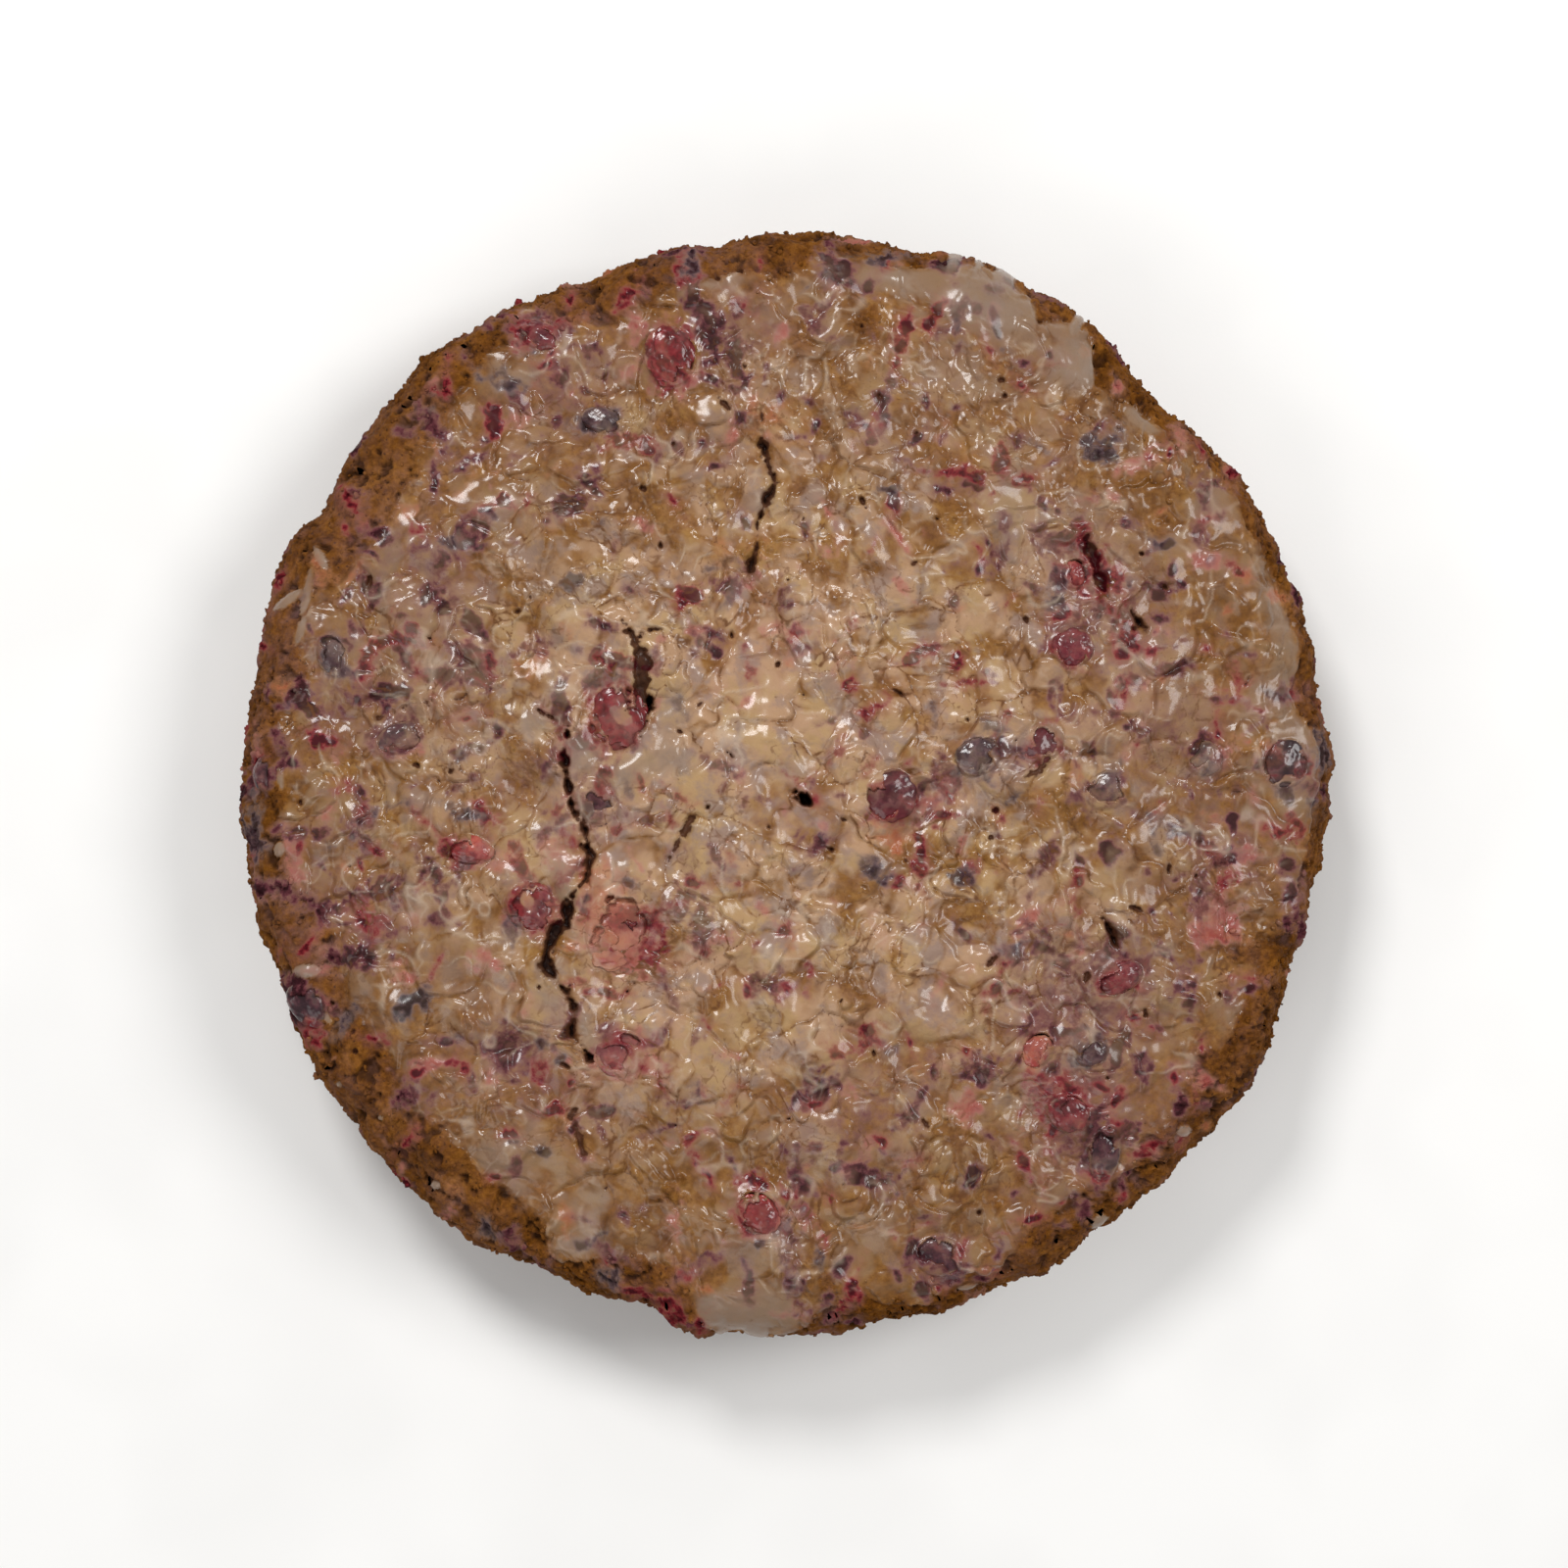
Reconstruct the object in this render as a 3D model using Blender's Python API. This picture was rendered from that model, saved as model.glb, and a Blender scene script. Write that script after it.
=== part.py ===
# A round, single-layer fruit quick bread, turned out of a round tin and left whole.
# The crumb is one solid. Every berry as large as a fingertip is a solid of its own,
# bedded in a pocket of the crust. Metres, +Z up, the flat foot on Z = 0.

import math
import random

import bmesh
import bpy
from mathutils import Matrix, Vector

MM = 0.001

# ---- the bread ----
WIDE_RADIUS = 114.0 * MM     # at the side's widest level, under the shoulder
FOOT_RADIUS = 109.0 * MM     # where the tin's wall met its bottom
EDGE_HEIGHT = 37.0 * MM      # of the top where the shoulder starts
CROWN_HEIGHT = 45.0 * MM     # of the domed middle
DOME_POWER = 2.3             # how flat the dome's middle is
SHOULDER_RUN = 12.0 * MM     # the rounded shoulder, measured inward
SHOULDER_DROP = 12.5 * MM    # and downward
FOOT_ROUND = 2.5 * MM

TOP_RINGS = 23               # ring k of the top has 6k corners
SHOULDER_STEPS = 3
SIDE_STEPS = 3
RING_SIDES = 6

# The outline isn't a true circle: waves round the rim as count, size and one crest's angle
RIM_WAVES = (
    (2, 0.54 * MM, -90), (3, 0.16 * MM, -23), (4, 0.20 * MM, -43), (5, 0.28 * MM, -1),
    (6, 0.25 * MM, 11), (7, 0.28 * MM, 20), (11, 0.29 * MM, -3), (12, 0.26 * MM, 0),
)
# Crumbly bites out of the rim, and crust that bulges, as angle, half width and depth
RIM_BITES = (
    (4, 2.5, -1.2), (10, 2.5, 1.3), (15, 2.5, -0.8), (45, 3.0, 1.3), (60, 4.0, -0.8), (70, 3.0, -1.0),
    (98, 3.0, 0.9), (113, 3.5, 0.8), (130, 3.0, -1.6), (149, 3.0, 1.9), (167, 4.0, 1.1),
    (200, 3.0, 0.8), (236, 5.0, -0.7), (255, 2.5, 1.5), (261, 2.5, -1.4), (287, 4.0, -0.9),
    (328, 4.0, -1.1), (340, 5.0, 0.8),
)

# ---- the crust's relief ----
SWELL = dict(seed=11, count=14, shortest=22 * MM, longest=60 * MM, size=0.27 * MM)
LUMPS = dict(seed=29, count=18, shortest=9 * MM, longest=16 * MM, size=0.17 * MM)
WALL_SHARE = 0.5             # of the relief on the upright side, which the tin held smooth
FOOT_FADE = 6.0 * MM         # height over which the relief grows from the flat foot

# ---- cracks: x, y and width at each bend, in millimetres ----
CRACKS = {
    "main_upper": ((-23.2, 31.4, 0.8), (-27.0, 31.6, 1.2), (-30.3, 29.6, 2.2), (-28.6, 24.9, 3.8),
                   (-29.4, 20.3, 3.2), (-28.8, 14.3, 3.0), (-29.6, 9.0, 1.0)),
    "main_upper_tip": ((-33.2, 33.4, 0.7), (-31.8, 31.6, 1.4), (-30.0, 28.8, 1.8)),
    "main_left": ((-50.4, 15.2, 0.7), (-44.2, 11.7, 1.4), (-44.8, 6.4, 1.4), (-44.3, 0.1, 1.8),
                  (-43.2, -5.6, 1.8), (-40.6, -9.6, 2.0), (-40.1, -14.3, 2.6), (-39.7, -18.2, 2.0),
                  (-42.8, -22.7, 1.4), (-44.7, -28.1, 1.7), (-48.6, -32.4, 1.9), (-49.0, -37.4, 1.3),
                  (-46.3, -40.7, 1.3), (-43.2, -45.2, 1.9), (-43.6, -51.4, 1.7), (-39.5, -56.0, 1.0)),
    "main_foot": ((-41.8, -57.6, 0.7), (-42.0, -64.0, 0.9), (-43.6, -68.5, 0.9), (-41.4, -75.7, 0.7)),
    "top": ((-4.3, 76.2, 0.7), (-4.2, 68.4, 1.1), (-2.0, 62.1, 1.9), (-3.3, 57.6, 1.5),
            (-5.2, 51.4, 1.2), (-7.4, 43.2, 0.7)),
    "right": ((61.4, 50.6, 0.9), (63.9, 45.6, 2.4), (66.0, 40.9, 2.4), (67.0, 37.4, 1.2)),
    "right_slit": ((68.9, 38.7, 0.7), (71.1, 35.6, 1.5), (73.4, 32.5, 0.7)),
    "south_east": ((64.3, -27.0, 0.8), (66.4, -28.9, 1.3), (67.4, -31.8, 1.3), (69.0, -34.2, 0.8)),
    "blue_slit": ((49.3, 1.2, 0.7), (52.0, 2.9, 1.1), (54.2, 5.5, 0.7)),
    "pin_west": ((-16.2, 9.8, 0.7), (-12.6, 7.2, 1.3), (-10.6, 5.7, 2.4), (-9.8, 4.8, 1.2)),
    "pin_middle": ((-3.5, 0.3, 0.7), (1.2, -0.9, 1.2), (4.0, -2.1, 3.4), (6.4, -4.2, 1.8),
                   (11.6, -6.5, 0.8)),
    "twig": ((-18.5, -6.7, 0.7), (-21.6, -11.6, 1.1), (-23.7, -15.9, 0.7)),
    "west_fine": ((-83.8, 13.3, 0.7), (-76.4, 16.6, 0.9), (-66.4, 17.6, 1.4), (-63.0, 19.9, 1.0),
                  (-57.4, 19.7, 0.7)),
}
CRACK_DEPTH_BASE = 1.6       # in millimetres, of a crack with no width
CRACK_DEPTH_RATE = 2.3       # more depth for each unit of width
CRACK_FLOOR = 0.3            # the floor's width beside the mouth's
CRACK_JAG = 0.35             # sideways wander of each corner beside the width

# ---- fruit: kind, x, y, length, width, the length's angle, and how high it stands ----
# in millimetres and degrees; a minus height is sunk in a crack or under the crust's level
FRUIT = (
    ("raspberry", -34.0, 13.3, 14.6, 12.6, 80, -1.6),
    ("raspberry", -51.9, -25.2, 11.0, 9.9, 150, -0.2),
    ("raspberry", -23.2, 87.7, 12.8, 10.3, 100, 0.2),
    ("raspberry", 59.2, 27.9, 8.6, 7.8, 20, 0.0),
    ("raspberry", 58.4, -67.5, 8.9, 7.6, 150, 0.1),
    ("raspberry", -33.3, -55.3, 10.8, 9.4, 10, 0.2),
    ("raspberry", 68.9, -39.9, 9.9, 6.2, 25, 0.0),
    ("raspberry", -50.6, 92.6, 8.6, 6.0, 160, 0.0),
    ("strawberry", -34.2, -29.2, 18.0, 12.8, 75, 0.1),
    ("strawberry", -5.3, -88.1, 9.9, 8.2, 130, 0.3),
    ("strawberry", 52.2, -54.5, 7.8, 6.2, 60, 0.2),
    ("strawberry", -65.0, -13.4, 10.5, 6.2, 170, 0.1),
    ("strawberry", 59.8, 43.2, 6.6, 5.2, 80, -0.1),
    ("cherry", 21.9, -2.4, 11.2, 10.4, 35, 0.4),
    ("cherry", 52.6, 8.0, 9.6, 7.2, 20, 0.1),
    ("blueberry", 103.2, 4.2, 10.3, 9.2, 70, 0.5),
    ("blueberry", 39.6, 5.7, 9.9, 7.8, 15, 0.3),
    ("blueberry", 66.4, -1.3, 10.0, 7.6, 20, 0.4),
    ("blueberry", 86.2, 5.3, 7.6, 7.2, 0, 0.4),
    ("blueberry", -38.6, -3.6, 10.4, 7.6, 110, 0.0),
    ("blueberry", 66.2, -76.0, 11.8, 6.4, 80, 0.1),
    ("blueberry", 32.0, -97.4, 10.5, 8.6, 165, 0.2),
    ("blueberry", -98.8, -45.6, 9.9, 7.2, 130, -0.1),
    ("blueberry", -37.5, 74.9, 8.9, 5.4, 165, 0.0),
    ("blueberry", -93.1, 26.3, 9.1, 6.2, 105, 0.2),
    ("blueberry", -78.9, 9.4, 9.9, 6.4, 20, 0.2),
    ("blueberry", -107.2, 2.2, 7.6, 5.4, 90, 0.0),
    ("blueberry", 63.2, -55.0, 6.8, 5.8, 30, 0.3),
)
FRUIT_LOOKS = {
    "raspberry": dict(colour=(0.22, 0.018, 0.030), roughness=0.35),
    "strawberry": dict(colour=(0.42, 0.060, 0.045), roughness=0.40),
    "cherry": dict(colour=(0.120, 0.012, 0.022), roughness=0.25),
    "blueberry": dict(colour=(0.060, 0.042, 0.070), roughness=0.40),
}
FRUIT_DOME = 1.5 * MM        # the part that stands over its own girth
FRUIT_BODY = 3.6 * MM        # the part below the girth
FRUIT_GAP = 0.35 * MM        # left all round it in its pocket
POCKET_RISE = 5.0 * MM       # the pocket's straight wall, up through the crust
DRUPELET = 0.07              # a raspberry's bumps beside its radius

CRUST_LOOK = dict(colour=(0.33, 0.15, 0.050), roughness=0.75)


def clear_scene():
    for old in list(bpy.data.objects):
        bpy.data.objects.remove(old, do_unlink=True)


def make_material(name, colour, roughness):
    material = bpy.data.materials.new(name)
    material.use_nodes = True
    shader = material.node_tree.nodes["Principled BSDF"]
    shader.inputs["Base Color"].default_value = (*colour, 1.0)
    shader.inputs["Roughness"].default_value = roughness
    shader.inputs["Metallic"].default_value = 0.0
    return material


def make_object(name, shape, material, smooth=True):
    mesh = bpy.data.meshes.new(name)
    bmesh.ops.recalc_face_normals(shape, faces=shape.faces)
    shape.to_mesh(mesh)
    shape.free()
    if smooth:
        mesh.shade_smooth()
    if material:
        mesh.materials.append(material)
    return bpy.data.objects.new(name, mesh)


# ---- relief and outline ----

def make_waves(seed, count, shortest, longest, size):
    """Plane waves in space: each a direction scaled by its wave number, a phase and a size."""
    draw = random.Random(seed)
    waves = []
    for _ in range(count):
        turn = draw.uniform(0, math.tau)
        tilt = draw.uniform(-1.0, 1.0)
        number = math.tau / draw.uniform(shortest, longest)
        flat = math.cos(tilt) * number
        way = Vector((flat * math.cos(turn), flat * math.sin(turn), math.sin(tilt) * number))
        waves.append((way, draw.uniform(0, math.tau), size))
    return waves


CRUST_WAVES = make_waves(**SWELL) + make_waves(**LUMPS)


def crust_relief(place):
    return sum(size * math.sin(way.dot(place) + phase) for way, phase, size in CRUST_WAVES)


def rim_radius(angle):
    radius = WIDE_RADIUS
    for count, size, crest in RIM_WAVES:
        radius += size * math.cos(count * (angle - math.radians(crest)))
    for middle, half_width, depth in RIM_BITES:
        away = math.degrees(math.remainder(angle - math.radians(middle), math.tau))
        radius -= depth * MM * math.exp(-(away / half_width) ** 2)
    return radius


def dome_height(radius):
    return EDGE_HEIGHT + (CROWN_HEIGHT - EDGE_HEIGHT) * (1 - (radius / WIDE_RADIUS) ** DOME_POWER)


def surface_height(x, y):
    """Height of the crust over the foot at x, y, on the dome or on the shoulder."""
    radius = math.hypot(x, y)
    inner = rim_radius(math.atan2(y, x)) - SHOULDER_RUN
    height = dome_height(min(radius, inner))
    share = 1.0
    if radius > inner:
        lean = math.asin(min(1.0, (radius - inner) / SHOULDER_RUN))
        height -= SHOULDER_DROP * (1 - math.cos(lean))
        share -= (1 - WALL_SHARE) * math.sin(lean)
    return height + crust_relief(Vector((x, y, height))) * share


# ---- the bread ----

def ring_of(shape, count, place):
    return [shape.verts.new(place(math.tau * step / count)) for step in range(count)]


def stitch(shape, inner, outer):
    """Triangles between two closed rings whose corner counts can differ."""
    i = 0
    j = 0
    while i < len(inner) or j < len(outer):
        if j * len(inner) <= i * len(outer) and j < len(outer):
            shape.faces.new((inner[i % len(inner)], outer[j], outer[(j + 1) % len(outer)]))
            j += 1
        else:
            shape.faces.new((inner[i], outer[j % len(outer)], inner[(i + 1) % len(inner)]))
            i += 1


def on_dome(share):
    def place(angle):
        radius = share * (rim_radius(angle) - SHOULDER_RUN)
        x = radius * math.cos(angle)
        y = radius * math.sin(angle)
        return Vector((x, y, surface_height(x, y)))
    return place


def on_side(radius_drop, height_at, lean):
    """A ring of the shoulder, side or foot, moved along its own outward lean by the relief."""
    def place(angle):
        way = Vector((math.cos(angle), math.sin(angle), 0))
        spot = way * (rim_radius(angle) - radius_drop)
        spot.z = height_at(angle)
        outward = way * math.sin(lean) + Vector((0, 0, math.cos(lean)))
        fade = max(0.0, min(1.0, spot.z / FOOT_FADE)) * (1 - (1 - WALL_SHARE) * math.sin(lean))
        return spot + outward * crust_relief(spot) * fade
    return place


def bread_shape():
    shape = bmesh.new()
    rings = [[shape.verts.new(on_dome(0)(0))]]
    for k in range(1, TOP_RINGS + 1):
        rings.append(ring_of(shape, RING_SIDES * k, on_dome(k / TOP_RINGS)))
    around = RING_SIDES * TOP_RINGS

    def shoulder_top(angle):
        return dome_height(rim_radius(angle) - SHOULDER_RUN)

    for step in range(1, SHOULDER_STEPS + 1):
        lean = math.pi / 2 * step / SHOULDER_STEPS
        inset = SHOULDER_RUN * (1 - math.sin(lean))
        drop = SHOULDER_DROP * (1 - math.cos(lean))
        rings.append(ring_of(shape, around, on_side(inset, lambda a, d=drop: shoulder_top(a) - d, lean)))
    taper = WIDE_RADIUS - FOOT_RADIUS
    wall_top = EDGE_HEIGHT - SHOULDER_DROP
    for step in range(1, SIDE_STEPS + 1):
        share = step / SIDE_STEPS
        height = wall_top + (FOOT_ROUND - wall_top) * share
        rings.append(ring_of(shape, around, on_side(taper * share, lambda a, h=height: h, math.pi / 2)))
    rings.append(ring_of(shape, around, on_side(taper + FOOT_ROUND, lambda a: 0.0, math.pi / 2)))
    foot_inset = taper + FOOT_ROUND
    count = around
    while count > RING_SIDES:
        count = max(RING_SIDES, count // 3)
        share = count / around
        rings.append(ring_of(shape, count, lambda a, s=share: Vector(
            (math.cos(a), math.sin(a), 0)) * (WIDE_RADIUS - foot_inset) * s))
    rings.append([shape.verts.new((0, 0, 0))])
    for inner, outer in zip(rings, rings[1:]):
        if len(inner) == 1:
            fan(shape, inner[0], outer)
        elif len(outer) == 1:
            fan(shape, outer[0], inner)
        else:
            stitch(shape, inner, outer)
    return shape


def fan(shape, centre, ring):
    for step, corner in enumerate(ring):
        shape.faces.new((centre, corner, ring[(step + 1) % len(ring)]))


# ---- cracks ----

def crack_cutter(name, bends, seed):
    """A jagged wedge along the bends: wide at its mouth above the crust, narrow at its floor."""
    draw = random.Random(seed)
    shape = bmesh.new()
    sections = []
    for step, (x, y, width) in enumerate(bends):
        before = bends[max(0, step - 1)]
        after = bends[min(len(bends) - 1, step + 1)]
        along = Vector((after[0] - before[0], after[1] - before[1], 0)).normalized()
        across = Vector((-along.y, along.x, 0))
        middle = Vector((x, y, 0)) * MM
        top = surface_height(middle.x, middle.y)
        depth = (CRACK_DEPTH_BASE + CRACK_DEPTH_RATE * width) * MM
        corners = []
        for side, share, height in ((1, 1, top + 3 * MM), (-1, 1, top + 3 * MM),
                                    (-1, CRACK_FLOOR, top - depth), (1, CRACK_FLOOR, top - depth)):
            jag = 1 + draw.uniform(-CRACK_JAG, CRACK_JAG)
            spot = middle + across * (side * share * jag * width * MM / 2)
            spot.z = height
            corners.append(shape.verts.new(spot))
        sections.append(corners)
    for near, far in zip(sections, sections[1:]):
        for step in range(4):
            after = (step + 1) % 4
            shape.faces.new((near[step], near[after], far[after], far[step]))
    shape.faces.new(sections[0])
    shape.faces.new(reversed(sections[-1]))
    bmesh.ops.triangulate(shape, faces=shape.faces)
    return make_object(name, shape, None, smooth=False)


# ---- fruit ----

def fruit_swell(kind, ball, row, column, draw):
    """How far a corner stands out, as a share of the radius, for each kind of fruit."""
    if kind == "raspberry":
        return 1 + DRUPELET * (1 if (row + column) % 2 else -1)
    if kind == "strawberry":
        return 1 - 0.22 * max(0.0, ball.x) + draw.uniform(-0.05, 0.03)
    if kind == "cherry":
        return 1 - 0.06 * math.exp(-(ball.y / 0.25) ** 2)
    return 1 - 0.10 * math.exp(-((ball.x - 0.75) ** 2 + ball.y ** 2) / 0.08)


def fruit_shape(kind, length, width, seed, segments, rows, grow=0.0, rise=0.0):
    """A ball with a low dome over its girth and a deeper body under it.

    With grow it is the fruit's pocket: larger by that gap, even where a facet cuts inside its
    corners, and with a straight wall of the height rise above the girth.
    """
    draw = random.Random(seed)
    shape = bmesh.new()
    bumps = 1 + DRUPELET if kind == "raspberry" else 1
    facets = math.cos(math.pi / segments) * math.cos(math.pi / 2 / rows)

    def corner(row, column):
        lat = math.pi * row / rows - math.pi / 2
        lon = math.tau * column / segments
        ball = Vector((math.cos(lat) * math.cos(lon), math.cos(lat) * math.sin(lon), math.sin(lat)))
        swell = bumps / facets if grow else fruit_swell(kind, ball, row, column, draw)
        upper = ball.z > 1e-6
        deep = FRUIT_DOME if upper else FRUIT_BODY
        spot = Vector((ball.x * (length / 2 * swell + grow), ball.y * (width / 2 * swell + grow),
                       ball.z * (deep * swell + grow)))
        if upper:
            spot.z += rise
        return shape.verts.new(spot)

    rings = [[corner(0, 0)]]
    for row in range(1, rows):
        rings.append([corner(row, column) for column in range(segments)])
    rings.append([corner(rows, 0)])
    fan(shape, rings[0][0], rings[1])
    for lower, upper in zip(rings[1:-1], rings[2:-1]):
        stitch(shape, lower, upper)
    fan(shape, rings[-1][0], rings[-2])
    return shape


def place_fruit(thing, x, y, turn, height):
    spot = Vector((x, y, surface_height(x, y) + height))
    thing.location = spot
    thing.rotation_euler = (0, 0, math.radians(turn))
    radius = math.hypot(x, y)
    over = radius - (WIDE_RADIUS - SHOULDER_RUN)
    if over > 0:
        lean = math.asin(min(1.0, over / SHOULDER_RUN)) * 0.8
        axis = Vector((-y, x, 0)).normalized()
        tilted = Matrix.Rotation(lean, 4, axis) @ Matrix.Rotation(math.radians(turn), 4, "Z")
        thing.rotation_euler = tilted.to_euler()


def build_fruit(home, cutters):
    looks = {kind: make_material(kind, **look) for kind, look in FRUIT_LOOKS.items()}
    counts = dict.fromkeys(FRUIT_LOOKS, 0)
    for seed, (kind, x, y, length, width, turn, height) in enumerate(FRUIT):
        counts[kind] += 1
        name = f"{kind}_{counts[kind]}"
        fine = (14, 8) if kind == "raspberry" else (12, 6)
        shape = fruit_shape(kind, length * MM, width * MM, seed, *fine)
        thing = make_object(name, shape, looks[kind])
        place_fruit(thing, x * MM, y * MM, turn, height * MM)
        home.objects.link(thing)
        hollow = fruit_shape(kind, length * MM, width * MM, seed, 10, 6, grow=FRUIT_GAP, rise=POCKET_RISE)
        pocket = make_object(f"{name}_pocket", hollow, None, smooth=False)
        place_fruit(pocket, x * MM, y * MM, turn, height * MM)
        cutters.objects.link(pocket)


# ---- cutting and tidying ----

def cut_away(thing, cutters):
    """Cut every object of the collection out of the thing, then drop the cutters."""
    cut = thing.modifiers.new("hollows", "BOOLEAN")
    cut.operation = "DIFFERENCE"
    cut.operand_type = "COLLECTION"
    cut.collection = cutters
    cut.solver = "EXACT"
    bpy.context.view_layer.update()
    evaluated = thing.evaluated_get(bpy.context.evaluated_depsgraph_get())
    solid = bpy.data.meshes.new_from_object(evaluated)
    thing.modifiers.remove(cut)
    thing.data = solid
    for cutter in list(cutters.objects):
        bpy.data.objects.remove(cutter, do_unlink=True)
    bpy.data.collections.remove(cutters)


def keep_largest_body(thing):
    """Crumbs that the cuts set free are dropped: only the body with most corners stays."""
    shape = bmesh.new()
    shape.from_mesh(thing.data)
    left = set(shape.verts)
    bodies = []
    while left:
        front = [left.pop()]
        body = set(front)
        while front:
            for edge in front.pop().link_edges:
                for corner in edge.verts:
                    if corner in left:
                        left.remove(corner)
                        body.add(corner)
                        front.append(corner)
        bodies.append(body)
    bodies.sort(key=len)
    for body in bodies[:-1]:
        bmesh.ops.delete(shape, geom=list(body), context="VERTS")
    bmesh.ops.triangulate(shape, faces=shape.faces)
    shape.to_mesh(thing.data)
    shape.free()


def build_bread(home, cutters):
    crust = make_material("crust", **CRUST_LOOK)
    bread = make_object("bread", bread_shape(), crust)
    home.objects.link(bread)
    for seed, (name, bends) in enumerate(CRACKS.items()):
        cutters.objects.link(crack_cutter(f"crack_{name}", bends, seed))
    cut_away(bread, cutters)
    keep_largest_body(bread)
    bread.data.shade_smooth()
    return bread


def build_part():
    clear_scene()
    home = bpy.context.scene.collection
    cutters = bpy.data.collections.new("cutters")
    home.children.link(cutters)
    build_fruit(home, cutters)
    build_bread(home, cutters)


build_part()
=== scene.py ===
import math
import random

import bpy
import numpy as np
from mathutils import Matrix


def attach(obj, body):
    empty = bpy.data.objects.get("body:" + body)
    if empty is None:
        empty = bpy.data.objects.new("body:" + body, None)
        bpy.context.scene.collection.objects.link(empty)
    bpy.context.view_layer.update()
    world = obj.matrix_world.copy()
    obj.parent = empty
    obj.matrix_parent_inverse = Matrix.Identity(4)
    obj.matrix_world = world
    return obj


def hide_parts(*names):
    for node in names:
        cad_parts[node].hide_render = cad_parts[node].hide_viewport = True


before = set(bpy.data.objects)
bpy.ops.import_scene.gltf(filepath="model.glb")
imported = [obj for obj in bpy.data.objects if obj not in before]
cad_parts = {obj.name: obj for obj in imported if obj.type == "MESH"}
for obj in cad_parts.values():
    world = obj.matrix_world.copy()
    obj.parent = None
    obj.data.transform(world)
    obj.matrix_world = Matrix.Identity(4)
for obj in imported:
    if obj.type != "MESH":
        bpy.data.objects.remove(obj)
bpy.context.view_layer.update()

mm = 0.001

# Every shape below is worked out in millimetres and written to its mesh in metres.

bread = {
    "wideRadius": 114.0, "footRadius": 109.0, "edgeHeight": 37.0, "crownHeight": 45.0, "domePower": 2.3,
    "shoulderRun": 12.0, "shoulderDrop": 12.5, "footRound": 2.5, "wallShare": 0.5, "footFade": 6.0,
    "rimWaves": ((2, 0.54, -90), (3, 0.16, -23), (4, 0.20, -43), (5, 0.28, -1),
                 (6, 0.25, 11), (7, 0.28, 20), (11, 0.29, -3), (12, 0.26, 0)),   # count, size, crest
    "rimBites": ((4, 2.5, -1.2), (10, 2.5, 1.3), (15, 2.5, -0.8), (45, 3.0, 1.3), (60, 4.0, -0.8),
                 (70, 3.0, -1.0), (98, 3.0, 0.9), (113, 3.5, 0.8), (130, 3.0, -1.6), (149, 3.0, 1.9),
                 (167, 4.0, 1.1), (200, 3.0, 0.8), (236, 5.0, -0.7), (255, 2.5, 1.5), (261, 2.5, -1.4),
                 (287, 4.0, -0.9), (328, 4.0, -1.1), (340, 5.0, 0.8)),           # angle, half width, depth
    "swell": dict(seed=11, count=14, shortest=22, longest=60, size=0.27),
    "lumps": dict(seed=29, count=18, shortest=9, longest=16, size=0.17),
}

# x, y and width at each bend
cracks = {
    "mainUpper": ((-23.2, 31.4, 0.8), (-27.0, 31.6, 1.2), (-30.3, 29.6, 2.2), (-28.6, 24.9, 3.8),
                  (-29.4, 20.3, 3.2), (-28.8, 14.3, 3.0), (-29.6, 9.0, 1.0)),
    "berryGap": ((-27.6, 19.0, 0.7), (-27.6, 15.6, 1.7), (-28.2, 12.0, 1.2), (-29.6, 8.8, 0.7)),
    "mainUpperTip": ((-33.2, 33.4, 0.7), (-31.8, 31.6, 1.4), (-30.0, 28.8, 1.8)),
    "mainLeft": ((-50.4, 15.2, 0.4), (-44.2, 11.7, 1.0), (-44.8, 6.4, 0.8), (-44.3, 0.1, 1.2),
                 (-43.2, -5.6, 1.2), (-40.6, -9.6, 1.6), (-40.1, -14.3, 2.4), (-39.7, -18.2, 1.6),
                 (-42.8, -22.7, 0.7), (-44.7, -28.1, 1.0), (-48.6, -32.4, 1.5), (-49.0, -37.4, 0.8),
                 (-46.3, -40.7, 0.8), (-43.2, -45.2, 1.6), (-43.6, -51.4, 1.3), (-39.5, -56.0, 0.7)),
    "mainFoot": ((-41.8, -57.6, 0.3), (-42.0, -64.0, 0.5), (-43.6, -68.5, 0.5), (-41.4, -75.7, 0.3)),
    "top": ((-4.6, 76.2, 1.2), (-4.4, 70.5, 1.4), (-3.4, 66.0, 1.5), (-1.9, 62.1, 1.8), (-3.6, 58.0, 1.8),
            (-5.5, 54.0, 2.0), (-5.4, 49.0, 1.7), (-7.4, 43.2, 1.1)),
    "right": ((62.0, 50.6, 0.5), (63.9, 45.8, 1.1), (65.2, 41.6, 1.5), (66.6, 38.2, 1.0), (69.0, 36.0, 0.5)),
    "rightSlit": ((68.9, 38.7, 0.4), (71.1, 35.6, 1.2), (73.4, 32.5, 0.4)),
    "southEast": ((64.3, -27.0, 0.5), (66.4, -28.9, 1.0), (67.4, -31.8, 1.0), (69.0, -34.2, 0.5)),
    "blueSlit": ((49.3, 1.2, 0.4), (52.0, 2.9, 0.8), (54.2, 5.5, 0.4)),
    "pinWest": ((-12.8, 7.6, 0.3), (-10.9, 5.9, 1.5), (-10.2, 5.3, 0.5)),
    "pinMiddle": ((1.0, -1.2, 0.4), (3.2, -2.3, 2.6), (4.3, -3.2, 2.0), (5.8, -4.2, 0.7)),
    "pinTail": ((7.8, -5.2, 0.4), (10.2, -5.9, 1.0), (12.4, -7.4, 0.3)),
    "twig": ((-18.5, -6.7, 0.4), (-21.6, -11.6, 0.7), (-23.7, -15.9, 0.4)),
    "westFine": ((-83.8, 13.3, 0.2), (-76.4, 16.6, 0.4), (-66.4, 17.6, 0.9), (-63.0, 19.9, 0.6),
                 (-57.4, 19.7, 0.2)),
}
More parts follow.
